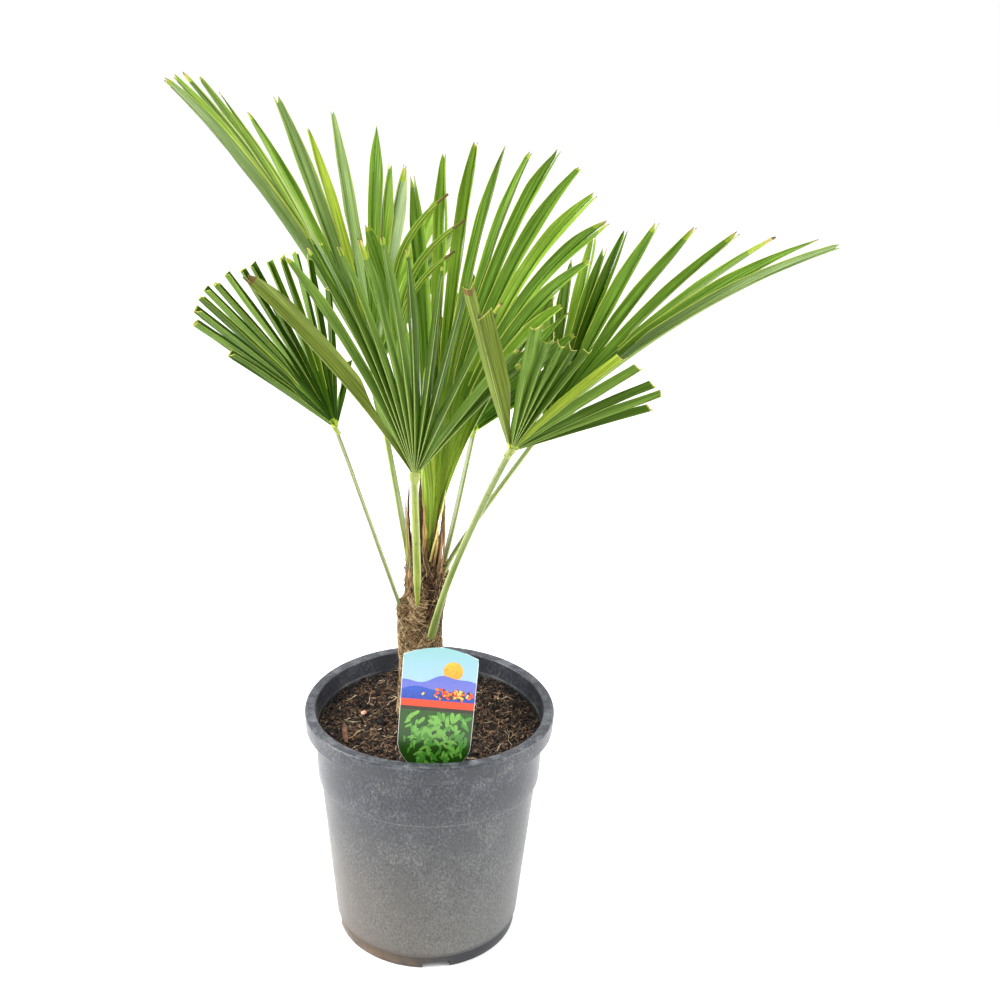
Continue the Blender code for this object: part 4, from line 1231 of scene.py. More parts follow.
@dataclass
class Trunk:
    """Short trunk clad in matted leaf-sheath fibre, with a boot under each leaf stalk."""

    fronds: tuple[FanFrond, ...]
    foot: Triple = (-0.0097, 0.0080, 0.2010)
    height: float = 0.150
    lean: Triple = (0.0020, 0.0010, 0.0)
    radius_at: tuple[tuple[float, float], ...] = ((0.0, 0.0194), (0.10, 0.0170), (0.48, 0.0166),
                                                  (0.62, 0.0138), (0.90, 0.0125), (1.0, 0.0100))
    mean_radius: float = 0.018
    fibres: int = 3200
    loose_fibres: int = 130
    neck_fibres: int = 460
    foot_wraps: int = 46
    curls: int = 26
    curls_below: float = 0.32
    shreds: int = 22
    neck_base: float = 0.335
    # Bearings in degrees of the hollows between the boots where shade is painted near black, and the fibre
    # mixes used there.
    painted_shade_sides: tuple[float, float] = (-46.0, 100.0)
    low_mix: tuple[Fibre, ...] = (Fibre.MID, Fibre.MID, Fibre.LIGHT, Fibre.LIGHT, Fibre.RED, Fibre.DARK)
    high_mix: tuple[Fibre, ...] = (Fibre.MID, Fibre.MID, Fibre.DARK, Fibre.DARK, Fibre.RED, Fibre.LIGHT)
    painted_shade_mix: tuple[Fibre, ...] = (Fibre.BLACK, Fibre.BLACK, Fibre.BLACK, Fibre.DARK)
    shaded_mix: tuple[Fibre, ...] = (Fibre.DARK, Fibre.BLACK, Fibre.RED)
    neck_mix: tuple[Fibre, ...] = (Fibre.MID, Fibre.MID, Fibre.DARK, Fibre.LIGHT, Fibre.RED, Fibre.PAPER)
    hair_mix: tuple[Fibre, ...] = (Fibre.MID, Fibre.DARK, Fibre.LIGHT, Fibre.RED)
    curl_mix: tuple[Fibre, ...] = (Fibre.MID, Fibre.DARK, Fibre.RED)
    shred_mix: tuple[Fibre, ...] = (Fibre.PAPER, Fibre.PAPER, Fibre.DARK, Fibre.MID, Fibre.PAPER)
    seed: int = 5
    finishes: tuple = (
        FibreFinish("fibre_mid", (118, 97, 66), (172, 148, 106)),
        FibreFinish("fibre_dark", (56, 43, 30), (100, 78, 54)),
        FibreFinish("fibre_light", (168, 144, 106), (214, 192, 152)),
        FibreFinish("fibre_red", (92, 62, 40), (142, 106, 72)),
        SheathFinish("sheath_paper", (52, 36, 24), (104, 76, 48), (166, 132, 90)),
        SheathFinish("sheath_green", (62, 50, 26), (92, 96, 34), (134, 134, 60)),
        SheathFinish("sheath_tan", (46, 32, 20), (126, 92, 50), (196, 160, 96)),
        SheathFinish("sheath_yellow", (150, 140, 60), (196, 190, 92), (232, 226, 146)),
        # Near-black fibre, mostly used as painted shade in the hollows between the boots.
        FibreFinish("fibre_black", (26, 18, 12), (56, 40, 28)),
    )
    strips: tuple[tuple, ...] = (
        ((-0.0180, -0.0020, 0.3686), (-0.0182, -0.0100, 0.4212), 0.0008, Fibre.BLACK),
        ((-0.0176, 0.0020, 0.3500), (-0.0220, -0.0060, 0.4100), 0.0024, Fibre.PAPER),
        ((-0.0180, 0.0010, 0.3380), (-0.0208, -0.0070, 0.3860), 0.0024, Fibre.GREEN),
        ((-0.0062, 0.0000, 0.3420), (-0.0071, -0.0040, 0.4060), 0.0022, Fibre.TAN),
        ((-0.0090, -0.0030, 0.3480), (-0.0096, -0.0040, 0.4105), 0.0007, Fibre.BLACK),
        ((-0.0018, -0.0020, 0.3500), (0.0103, -0.0050, 0.4150), 0.0010, Fibre.YELLOW),
        ((0.0026, 0.0030, 0.3440), (0.0094, -0.0010, 0.4060), 0.0040, Fibre.DARK),
        ((-0.0175, 0.0000, 0.3620), (-0.0196, -0.0060, 0.4180), 0.0018, Fibre.DARK),
        ((-0.0092, 0.0020, 0.3560), (-0.0104, -0.0020, 0.4260), 0.0030, Fibre.DARK),
        ((0.0040, 0.0050, 0.3380), (0.0074, 0.0040, 0.3960), 0.0042, Fibre.DARK),
        ((0.0012, -0.0010, 0.3460), (0.0046, -0.0060, 0.3800), 0.0014, Fibre.TAN),
        ((0.0046, -0.0010, 0.3440), (0.0076, -0.0040, 0.3780), 0.0014, Fibre.PAPER),
        ((0.0066, 0.0010, 0.3380), (0.0098, 0.0010, 0.3830), 0.0016, Fibre.RED),
        ((-0.0060, 0.0200, 0.3380), (-0.0040, 0.0280, 0.3960), 0.0030, Fibre.PAPER),
        ((-0.0170, 0.0160, 0.3380), (-0.0215, 0.0215, 0.3860), 0.0026, Fibre.GREEN),
        ((0.0040, 0.0180, 0.3380), (0.0090, 0.0250, 0.3900), 0.0026, Fibre.TAN),
        ((-0.0010, 0.0220, 0.3380), (0.0020, 0.0310, 0.3780), 0.0022, Fibre.PAPER),
    )

    @property
    def stalked(self) -> list[FanFrond]:
        """The fronds whose stalks stand on the trunk."""
        return [frond for frond in self.fronds if frond.foot]

    def axis(self, share: Array) -> Array:
        """Points of the trunk's axis at shares of its height."""
        return np.array(self.foot) + np.asarray(share)[..., None] * (np.array(self.lean) + UP * self.height)

    def share_at(self, z: float) -> float:
        """Share of the trunk's height at a height."""
        return (z - self.foot[2]) / self.height

    def radius(self, turn: Array, share: Array) -> Array:
        """Distance of the cladding from the axis.

        It is the core's radius, plus for each stalk a boot that swells up to the stalk's foot and
        falls off just above it, as a bell curve round the stalk's bearing.

        Args:
            turn: Angle round the axis in radians.
            share: Share of the trunk's height, in the same shape.

        Returns:
            Radii in the same shape.
        """
        shares, radii = zip(*self.radius_at)
        total = np.interp(share, shares, radii)
        for frond in self.stalked:
            top = self.share_at(frond.foot[2])
            offset = np.array(frond.foot) - self.axis(top)
            swell = np.hypot(offset[0], offset[1]) - np.interp(top, shares, radii) + 0.0012
            under = np.clip((top - share) / 0.42, 0.0, 1.0)
            away = away_from(turn, math.atan2(offset[1], offset[0])) / (0.26 + 0.45 * under)
            rise = (1.0 - ease(under)) * (1.0 - ease((share - top) / 0.05))
            total = total + swell * np.exp(-(away**2)) * rise
        return total

    def surface(self, turn: Array, share: Array, above: Array) -> Array:
        """Points on the cladding, a distance above it."""
        return self.axis(share) + spoke(turn) * (self.radius(turn, share) + above)[..., None]

    def build(self) -> None:
        """Make the trunk: cladding, wrapped fibres, loose fibres and torn sheath tips."""
        browns = [finish.make() for finish in self.finishes]
        rng = np.random.default_rng(self.seed)
        pieces = (
            ("trunk_cladding", (self.add_cladding, self.add_shreds, self.add_strips), ("trunk",)),
            ("trunk_fibres", (self.add_wrapped,), ()),
            ("trunk_neck_fibres", (self.add_foot_wraps, self.add_neck, self.add_curls), ()),
            ("trunk_loose_fibres", (self.add_loose,), ()),
        )
        for name, methods, nodes in pieces:
            builder = MeshBuilder()
            for method in methods:
                method(builder, rng)
            hand_over(builder.build(name, browns), "trunk_fibre", *nodes)

    def add_cladding(self, builder: MeshBuilder, _: Random) -> None:
        """Put the relief of the cladding into a builder.

        The radius at a turn and a share gets ridges of two crossing slants and an uneven swell,
        and the top and the flat foot are closed.
        """
        rows, sides = 170, 120
        share, turn = np.meshgrid(np.linspace(0.0, 1.0, rows), np.arange(sides) * FULL / sides, indexing="ij")
        place = spoke(turn) * self.mean_radius + share[..., None] * self.height * UP
        weave = np.sin(turn * 34.0 + share * 90.0) * np.sin(turn * 26.0 - share * 110.0)
        relief = 0.0006 * weave + 0.0009 * ripple(place, 0.016, 9, 4) - 0.0009
        faces = tube_faces(rows, sides)
        number = np.arange(len(faces))
        # Painted shade: cladding faces in the hollows between the boots take near-black fibre.
        shaded = self.in_shade(number % sides * FULL / sides, number // sides / (rows - 1.0)) > 0.35
        builder.add(self.surface(turn, share, relief * ease(share * 30.0)), faces,
                    np.where(shaded, Fibre.BLACK, Fibre.DARK))

    def in_shade(self, turn: Array, share: Array) -> Array:
        """Share from 0 to 1 by which a place lies in the hollows between the boots, where shade is painted near
        black.

        It is a bell curve round each side with painted shade, times a smooth rise above the trunk's middle.
        """
        total = sum(1.15 * np.exp(-((away_from(turn, math.radians(side)) / 0.60) ** 2))
                    for side in self.painted_shade_sides)
        return np.clip(total, 0.0, 1.0) * ease((share - 0.44) / 0.16)

    def add_wrapped(self, builder: MeshBuilder, rng: Random) -> None:
        """Put the fibres that lie on the cladding into a builder.

        A fibre climbs at a steep or flat slant to the left or right, with a little sway, and its
        turn round the axis grows with its climb.
        """
        count = self.fibres
        t = np.linspace(0.0, 1.0, 8)[None, :]
        length = even(rng, 0.010, 0.042, count, 2)
        slant = rng.choice((-1.0, 1.0), (count, 1)) * np.radians(even(rng, 8.0, 72.0, count, 2))
        low = rng.beta(1.0, 1.15, (count, 1)) * 0.99
        share = np.clip(low + t * length * np.cos(slant) / self.height, 0.0, 1.04)
        turn = even(rng, 0.0, FULL, count, 2) + t * length * np.sin(slant) / self.mean_radius
        turn = turn + even(rng, 0.0, 0.10, count, 2) * np.sin(t * even(rng, 3.0, 9.0, count, 2))
        above = even(rng, -0.0002, 0.0013, count, 2) + 0.0009 * rng.random((count, 1)) * np.sin(np.pi * t)
        paths = self.surface(turn, np.minimum(share, 1.0), above)
        paths[..., 2] += np.maximum(share - 1.0, 0.0) * self.height
        thick = even(rng, 0.00012, 0.00034, count, 2) * (1.0 - 0.5 * t)
        tones = np.where(low[:, 0] < 0.52, rng.choice(self.low_mix, count), rng.choice(self.high_mix, count))
        # Painted shade: most fibres in the hollows between the boots take near-black tones.
        in_painted_shade = rng.random(count) < 0.94 * self.in_shade(turn[:, 4], share[:, 4])
        tones = np.where(in_painted_shade, rng.choice(self.painted_shade_mix, count), tones)
        builder.tubes(paths, thick, thick, 4, tones, unit(paths - self.axis(0.5)) * LEVEL)

    def add_foot_wraps(self, builder: MeshBuilder, rng: Random) -> None:
        """Put the fibres that cross the foot of every leaf stalk into a builder.

        A fibre is a short arc over the stalk's foot: it runs across the stalk at a slant, bulges
        outwards by the stalk's radius and sinks into the cladding at both ends.
        """
        count = self.foot_wraps
        t = np.linspace(-1.0, 1.0, 11)[None, :, None]
        for frond in self.stalked:
            foot = np.array(frond.foot)
            out = unit((foot - self.axis(self.share_at(foot[2]))) * LEVEL)
            beside = np.cross(UP, out)
            rise = even(rng, -0.020, 0.004, count)
            slant = even(rng, -1.1, 1.1, count)
            reach = frond.petiole_radius * even(rng, 1.6, 3.2, count)
            bulge = frond.petiole_radius * even(rng, 0.5, 1.4, count) * (1.0 - t**2)
            paths = foot - out * 0.0015 + out * bulge + (beside + slant * UP) * reach * t + UP * rise
            thick = even(rng, 0.00012, 0.00026, count, 2)
            builder.tubes(paths, thick, thick, 4, rng.choice(self.hair_mix, count), out)

    def add_neck(self, builder: MeshBuilder, rng: Random) -> None:
        """Put the steep fibres above the trunk into a builder, thick below and thin above.

        A fibre starts within the trunk's top and climbs at a slight lean outwards or inwards,
        with a small sideways sway that grows with its height.
        """
        count = self.neck_fibres
        t = np.linspace(0.0, 1.0, 12)[None, :, None]
        turn = rng.uniform(0.0, FULL, count)
        out = spoke(turn)[:, None]
        distance = even(rng, 0.0060, 0.0128, count)
        length = rng.gamma(3.2, 0.0082, (count, 1, 1)) + 0.012
        lean = rng.normal(-0.02, 0.11, (count, 1, 1))
        sway = rng.normal(0.0, 0.10, (count, 1, 1))
        paths = (self.axis(self.share_at(self.neck_base)) + out * (distance + lean * length * t)
                 + UP * length * t + np.cross(UP, out) * sway * length * t**2
                 - UP * even(rng, 0.0, 0.012, count))
        thick = even(rng, 0.00012, 0.00034, count, 2) * (1.0 - 0.6 * t[..., 0])
        # Painted shade: fibres round the first shaded side take darker tones.
        dark = np.exp(-(away_from(turn, math.radians(self.painted_shade_sides[0])) / 0.7) ** 2)
        tones = np.where(rng.random(count) < dark, rng.choice(self.shaded_mix, count),
                         rng.choice(self.neck_mix, count))
        builder.tubes(paths, thick, thick, 4, tones, out)

    def add_curls(self, builder: MeshBuilder, rng: Random) -> None:
        """Put the springy curls at the lowest leaf stalks' feet into a builder.

        A curl runs out from the foot along a straight line and circles round it, wider as it goes.
        """
        count = self.curls
        t = np.linspace(0.0, 1.0, 26)[None, :, None]
        for frond in self.stalked:
            if frond.foot[2] > self.curls_below:
                continue
            foot = np.array(frond.foot)
            out = unit((foot - self.axis(0.6)) * LEVEL)
            beside = np.cross(UP, out)
            way = unit(out * even(rng, 0.1, 1.0, count) + beside * even(rng, -1.0, 1.0, count)
                       + UP * even(rng, -0.7, 0.9, count))
            start = foot - out * 0.002 + beside * even(rng, -0.006, 0.006, count)
            start = start + UP * even(rng, -0.012, 0.003, count)
            phase = t * even(rng, 4.0, 11.0, count) + even(rng, 0.0, 6.0, count)
            size = even(rng, 0.0008, 0.0028, count) * np.sqrt(t)
            paths = coils(start, way, out + 0.3 * UP, even(rng, 0.003, 0.0095, count) * t, size, phase)
            thick = even(rng, 0.00010, 0.00019, count, 2) * (1.0 - 0.5 * t[..., 0])
            builder.tubes(paths, thick, thick, 4, rng.choice(self.curl_mix, count), SKEWED)

    def add_strips(self, builder: MeshBuilder, _: Random) -> None:
        """Put the named sheath strips of the neck into a builder: flat, bowed and pointed."""
        t = np.linspace(0.0, 1.0, 26)
        for start, end, half_width, tone in self.strips:
            start, end = np.array(start), np.array(end)
            out = unit((start - self.axis(1.0)) * LEVEL)
            path = start + (end - start) * t[:, None] + out * (0.0012 * np.sin(np.pi * t))[:, None]
            ragged = 1.0 + 0.16 * np.sin(t * 23.0 + half_width * 9000.0)
            width = (half_width * (1.0 - t**2.2) + 0.00012) * ragged
            builder.tubes(path[None], width, 0.00028, 8, tone, out)

    def add_loose(self, builder: MeshBuilder, rng: Random) -> None:
        """Put the hairs that stand off the trunk into a builder, as curls that drift outwards.

        A hair starts on the cladding, leaves it along a slanting line and curls round that line
        with a radius that grows from nothing.
        """
        count = self.loose_fibres
        t = np.linspace(0.0, 1.0, 22)[None, :, None]
        turn = rng.uniform(0.0, FULL, count)
        start = self.surface(turn, rng.beta(1.3, 1.1, count), np.zeros(count))[:, None]
        out = spoke(turn)[:, None]
        way = unit(out * even(rng, 0.3, 1.0, count) + np.cross(UP, out) * even(rng, -0.9, 0.9, count)
                   + UP * even(rng, -0.5, 1.2, count))
        reach = rng.gamma(3.0, 0.0042, (count, 1, 1)) * t
        size = even(rng, 0.0004, 0.0026, count) * t
        phase = t * even(rng, 3.0, 11.0, count) + even(rng, 0.0, 6.0, count)
        thick = even(rng, 0.00010, 0.00018, count, 2) * (1.0 - 0.6 * t[..., 0])
        builder.tubes(coils(start, way, UP, reach, size, phase), thick, thick, 4,
                      rng.choice(self.hair_mix, count), SKEWED)

    def add_shreds(self, builder: MeshBuilder, rng: Random) -> None:
        """Put the torn sheath tips above the trunk into a builder.

        A shred is a thin strip that stands up from the trunk's top round the stalks, curves out
        a little and narrows to a ragged point.
        """
        count, golden_turn = self.shreds, 2.399963
        t = np.linspace(0.0, 1.0, 24)[None, :]
        turn = (np.arange(count) * golden_turn + rng.uniform(-0.2, 0.2, count))[:, None]
        base = even(rng, 0.62, 0.92, count, 2)
        share = base + t * even(rng, 0.030, 0.078, count, 2) / self.height
        drift = even(rng, -0.35, 0.35, count, 2) * t
        out = self.radius(turn + 0.0 * t, np.minimum(share, 0.94)) * even(rng, 0.72, 1.05, count, 2)
        out = out + 0.006 * even(rng, -0.6, 1.0, count, 2) * t**2
        side = spoke(turn + drift)
        width = even(rng, 0.0012, 0.0040, count, 2) * (1.0 - t**1.6) + 0.00015
        builder.tubes(self.axis(share) + side * out[..., None], width, 0.00022, 8,
                      rng.choice(self.shred_mix, count), side)


def pressed(points: Array) -> Array:
    """Push the front of the soft pot in and up a little, as the photographed one is out of round.

    The push is the square of how far a point faces the front, times a smooth rise with height.

    Args:
        points: Points of the pot or of the soil in it, (..., 3).

    Returns:
        The moved points in the same shape.
    """
    x, y, z = points[..., 0], points[..., 1], points[..., 2]
    reach = np.maximum(np.hypot(x, y), TINY)
    push = (np.clip(-y, 0.0, None) / reach) ** 2 * ease((z - 0.030) / 0.110) * (reach / 0.105)
    return points + push[..., None] * (0.0, 0.0050, 0.0022)


@dataclass
class NurseryPot:
    """Turned nursery pot with a rolled rim band, a collar step, a notched foot ring and drain holes."""

    height: float = 0.2142
    rim_radius: float = 0.1060
    band_height: float = 0.016
    rim_inner: float = 0.0968
    wall_top: float = 0.0970
    lip: float = 0.0022
    collar_z: float = 0.152
    collar_radius: float = 0.0955
    collar_step: float = 0.0022
    shoulder_radius: float = 0.0805
    shoulder_z: float = 0.014
    foot_radius: float = 0.0784
    wall: float = 0.0026
    floor_z: float = 0.0060
    ring_width: float = 0.0040
    pad_radius: float = 0.012
    notch_bearing: float = -80.6
    notch_width: float = 0.0240
    notch_height: float = 0.0056
    notches: int = 4
    hole_radius: float = 0.006
    hole_circle: float = 0.048
    sides: int = 240
    plastic: PotFinish = PotFinish("pot_plastic", (51, 53, 58), (105, 105, 100), (112, 116, 120),
                                   (98, 80, 62))

    @staticmethod
    def arc(r: float, z: float, radius: float, start: float, end: float, steps: int) -> list:
        """Points (r, z) along an arc round a centre between two angles in degrees."""
        turn = np.radians(np.linspace(start, end, steps))
        return [(r + radius * math.cos(a), z + radius * math.sin(a)) for a in turn]

    def profile(self) -> tuple[Array, int]:
        """Closed profile as (r, z) points, down the outside, under the floor and up the inside.

        Returns:
            The points, and how many come before the inside.
        """
        band = self.height - self.band_height
        below = self.collar_radius - self.collar_step
        shoulder, foot, pole = self.shoulder_radius, self.foot_radius, 0.0006
        slope = (below - shoulder) / (self.collar_z - self.shoulder_z)
        outside = [
            *self.arc(self.rim_radius - self.lip, self.height - self.lip, self.lip, 90.0, 0.0, 7),
            *self.arc(self.rim_radius - 0.0018, band + 0.0012, 0.0012, 0.0, -90.0, 5),
            *self.arc(self.wall_top + 0.0014, band - 0.0014, 0.0014, 90.0, 180.0, 5),
            (self.wall_top - 0.0005, band - 0.016), (self.collar_radius + 0.0006, self.collar_z + 0.014),
            *self.arc(self.collar_radius - 0.0008, self.collar_z + 0.0008, 0.0008, 0.0, -90.0, 4),
            *self.arc(below + 0.0006, self.collar_z - 0.0010, 0.0006, 90.0, 180.0, 4),
            *((shoulder + slope * (z - self.shoulder_z), z)
              for z in np.linspace(self.collar_z - 0.006, self.shoulder_z + 0.004, 12)),
            *self.arc(shoulder - 0.0035, self.shoulder_z, 0.0035, 0.0, -70.0, 6),
            (foot, self.shoulder_z - 0.0060), (foot, self.notch_height + 0.0002), (foot, 0.0006),
            (foot - 0.0006, 0.0),
        ]
        ring, pad, floor = foot - self.ring_width, self.pad_radius, self.floor_z
        under = [(ring + 0.0006, 0.0), (ring, 0.0006), (ring, self.notch_height + 0.0002), (ring, floor),
                 (ring - 0.004, floor), (0.05, floor), (pad, floor), (pad, 0.0), (pole, 0.0)]
        top = floor + self.wall
        inside = [(pole, top), (0.03, top), (shoulder - self.wall - 0.004, top),
                  (shoulder - self.wall, self.shoulder_z + 0.002), (below - self.wall, self.collar_z - 0.004),
                  (self.collar_radius - self.wall, self.collar_z + 0.002),
                  (self.wall_top - self.wall, band - 0.004), (self.rim_inner - 0.0006, self.height - 0.010),
                  *self.arc(self.rim_inner + 0.0014, self.height - 0.0014, 0.0014, 180.0, 90.0, 6)]
        return np.array(outside + under + inside), len(outside) + len(under)

    def build(self) -> None:
        """Make the pot: the profile turned round the axis, with notches, then drilled.

        Columns stand close on both sides of each notch's edge, and within a notch the foot
        ring's points are lifted to its height.
        """
        profile, outer_rows = self.profile()
        step, first = FULL / self.notches, math.radians(self.notch_bearing)
        half = self.notch_width / 2.0 / self.foot_radius
        edges = [first + index * step + side * half + nudge for index in range(self.notches)
                 for side in (-1.0, 1.0) for nudge in (-0.0004, 0.0004)]
        turn = np.sort(np.append(np.arange(self.sides) * FULL / self.sides, np.array(edges) % FULL))
        notched = np.abs((turn - first + step / 2.0) % step - step / 2.0) < half
        radius, z = profile[:, :1] + 0.0 * turn, profile[:, 1:] + 0.0 * turn
        in_ring = (radius > self.foot_radius - self.ring_width - 0.001) & (z < self.notch_height)
        z = np.where(in_ring & notched, self.notch_height, z)
        points = pressed((spoke(turn) * radius[..., None] + z[..., None] * UP)[::-1])
        columns, rows = len(turn), len(profile)
        split = rows - outer_rows
        body = grid_faces(rows, columns)
        seam = (body[:, 0] // columns) == split - 1
        ring = np.arange(columns)
        beside, last = (ring + 1) % columns, (rows - 1) * columns
        join = np.stack([ring + last, beside + last, beside, ring], axis=1)
        builder = MeshBuilder()
        ends = [ring[None] + (split - 1) * columns, ring[None, ::-1] + split * columns]
        builder.add(points, [body[~seam], join, *ends])
        pot = builder.build("nursery_pot", [self.plastic.make()], sharp_degrees=50.0)
        self.drill(pot)
        hand_over(pot, "pot_plastic", "pot")

    def drill(self, pot: bpy.types.Object) -> None:
        """Cut the drain holes through the floor and take the cutters away.

        Args:
            pot: The pot's object.
        """
        holes = MeshBuilder()
        turn = np.radians(self.notch_bearing + 45.0) + np.arange(self.notches) * FULL / self.notches
        place = (spoke(turn) * self.hole_circle)[:, None] + UP * np.array((-0.004, 0.022))[None, :, None]
        holes.tubes(place, self.hole_radius, self.hole_radius, 32, 0, np.array((1.0, 0.0, 0.0)))
        cutter = holes.build("drain_cutter", [])
        cut = pot.modifiers.new("drain_holes", "BOOLEAN")
        cut.operation = "DIFFERENCE"
        cut.object = cutter
        graph = bpy.context.evaluated_depsgraph_get()
        mesh = bpy.data.meshes.new_from_object(pot.evaluated_get(graph))
        pot.modifiers.clear()
        pot.data = mesh
        bpy.data.objects.remove(cutter, do_unlink=True)


class Bit(IntEnum):
    """Finish of what the soil is made of, by its place in the list of its materials."""

    BED = 0
    CRUMB = 1
    BLACK = 2
    BARK = 3
    STRAW = 4
    HAIR = 5
    PEBBLE = 6


@dataclass
class PottingSoil:
    """Compost in the pot: an uneven bed with crumbs, bark, straw, root hairs and a few odd bits."""

    edge_z: float = 0.1965
    mound: float = 0.0035
    edge_radius: float = 0.0940
    strand_radius: float = 0.0925
    lower_rings: tuple[tuple[float, float], ...] = ((0.0940, 0.190), (0.0905, 0.150), (0.0775, 0.017),
                                                    (0.0735, 0.0092), (0.0010, 0.0092))
    crumbs: int = 7400
    chips: int = 420
    splinter: tuple[float, ...] = (-0.0702, -0.0224, 0.0330, 0.0026, 0.0011)
    pebble: tuple[float, ...] = (-0.0572, 0.0086, 0.0052, 0.0024, 0.0017)
    seed: int = 17
    finishes: tuple[SoilFinish, ...] = (
        # The bed shows between the crumbs; its near black is partly the compost's colour and partly painted
        # shade.
        SoilFinish("soil_bed", (6, 4, 3), (26, 19, 14), (80, 64, 50)),
        SoilFinish("soil_crumb", (20, 15, 11), (56, 45, 36), (138, 116, 92), 620.0),
        SoilFinish("soil_black", (5, 4, 3), (17, 13, 10), (44, 35, 28), 520.0),
        SoilFinish("bark_chip", (46, 32, 22), (88, 64, 48), (130, 100, 78), 300.0),
        SoilFinish("straw", (142, 120, 86), (190, 170, 134), (224, 210, 180), 240.0),
        SoilFinish("root_hair", (78, 60, 44), (124, 100, 76), (164, 138, 108), 300.0),
        SoilFinish("tan_pebble", (170, 124, 100), (206, 158, 132), (230, 190, 166), 200.0),
    )
    strands: tuple[tuple, ...] = (
        (120, 0.0095, 0.0020, 0.00028, (Bit.STRAW, Bit.STRAW, Bit.HAIR)),
        (1500, 0.0085, 0.0014, 0.00019, (Bit.HAIR, Bit.BARK, Bit.CRUMB, Bit.BLACK, Bit.HAIR)),
    )

    def level(self, place: Array) -> Array:
        """Height of the bed at (x, y) places: a low mound with uneven lumps."""
        share = np.clip(np.linalg.norm(place, axis=-1) / self.edge_radius, 0.0, 1.0)
        lumps = ripple(place, 0.034, self.seed, 5) * 0.0022 + ripple(place, 0.0085, self.seed + 1, 3) * 0.0011
        lumps = lumps * (1.0 - 0.6 * ease(share * 6.0 - 5.0))
        return self.edge_z + self.mound * (0.5 + 0.5 * np.cos(np.pi * share)) + lumps

    def on_bed(self, place: Array, above: Array | float) -> Array:
        """Points at (x, y) places a distance above the bed."""
        height = self.level(place) + above
        return pressed(np.concatenate([place, height[..., None]], axis=-1))

    def scatter(self, rng: Random, count: int, rim: float = 0.002) -> Array:
        """Even places (x, y) on the bed, a little in from its edge."""
        radius = np.sqrt(rng.random(count)) * (self.edge_radius - rim)
        return radius[:, None] * spoke(rng.uniform(0.0, FULL, count))[:, :2]

    def build(self) -> None:
        """Make the bed and all that lies on it."""
        rng = np.random.default_rng(self.seed)
        browns = [finish.make() for finish in self.finishes]
        pieces = (("soil_bed", self.add_bed, ("soil",)), ("soil_crumbs", self.add_crumbs, ()),
                  ("soil_chips", self.add_chips, ()), ("soil_straws", self.add_strands, ()))
        for name, method, nodes in pieces:
            builder = MeshBuilder()
            method(builder, rng)
            hand_over(builder.build(name, browns), "soil", *nodes)

    def add_bed(self, builder: MeshBuilder, _: Random) -> None:
        """Put the bed into a builder: rings over the top, down the wall and across the bottom."""
        sides = 300
        ring = spoke(np.arange(sides) * FULL / sides)
        place = np.linspace(0.002, 1.0, 110)[:, None, None] * self.edge_radius * ring[:, :2]
        top = np.concatenate([place, self.level(place)[..., None]], axis=2)
        lower = [ring * radius + UP * z for radius, z in self.lower_rings]
        points = np.concatenate([top, np.array(lower)])
        builder.add(pressed(points[::-1]), tube_faces(len(points), sides), Bit.BED)

    def add_crumbs(self, builder: MeshBuilder, rng: Random) -> None:
        """Put the crumbs into a builder, each a lumpy ball of one ring and two blunt ends.

        A ring's radius follows the sine of its angle from the pole, times a random lumpiness.
        """
        count, sides = self.crumbs, 5
        polar = np.radians(np.array((22.0, 90.0, 158.0)))[:, None, None]
        lump = rng.uniform(0.72, 1.25, (count, len(polar), sides, 1))
        shape = np.sin(polar) * spoke(np.arange(sides) * FULL / sides) - np.cos(polar) * UP
        size = np.minimum(rng.gamma(2.0, 0.00031, (count, 1)), 0.0012)
        size = size * rng.uniform(0.40, 1.9, (count, 3)) + 0.00028
        size = size * np.where(rng.random((count, 1)) < 0.05, 2.0, 1.0) * (1.0, 1.0, 0.62)
        centre = self.on_bed(self.scatter(rng, count), size[:, 2] * 0.35)
        faces = tube_faces(len(polar), sides)
        tones = rng.choice((Bit.CRUMB,) * 2 + (Bit.BLACK,) * 4 + (Bit.BARK,), count)
        builder.add(centre[:, None, None] + shape * lump * size[:, None, None],
                    repeat_faces(faces, count, len(polar) * sides), np.repeat(tones, len(faces)))

    def add_chips(self, builder: MeshBuilder, rng: Random) -> None:
        """Put the bark chips into a builder as flat splinters, with a wood splinter and a pebble.

        A splinter is a short tube, wide and thin, that tapers unevenly and lies at a slight tilt.
        """
        count = self.chips
        t = np.linspace(-0.5, 0.5, 5)[None, :, None]
        place = self.scatter(rng, count, 0.008)
        size = np.minimum(rng.gamma(2.4, 0.0015, count), 0.0070)
        bearing, tilt = rng.uniform(0.0, 180.0, count), rng.uniform(-14.0, 20.0, count)
        swell = 1.0 - (2.0 * np.abs(t[..., 0])) ** 3 * even(rng, 0.2, 0.8, count, 2)
        wide, flat = even(rng, 0.12, 0.34, count, 2), even(rng, 0.22, 0.5, count, 2)
        width = size[:, None] * wide * swell
        thick = width * flat
        tones = rng.choice((Bit.BARK, Bit.CRUMB, Bit.BLACK, Bit.BLACK), count)
        for index, (x, y, long, half, depth) in enumerate((self.splinter, self.pebble)):
            place[index], size[index], tilt[index] = (x, y), long, 0.0
            width[index], thick[index] = half * swell[index], depth * swell[index]
        bearing[0], tones[0], tones[1] = 100.0, Bit.BARK, Bit.PEBBLE
        way = direction(bearing, tilt)[:, None]
        paths = self.on_bed(place, 0.0012)[:, None] + way * size[:, None, None] * t
        builder.tubes(paths, width, thick, 8, tones)

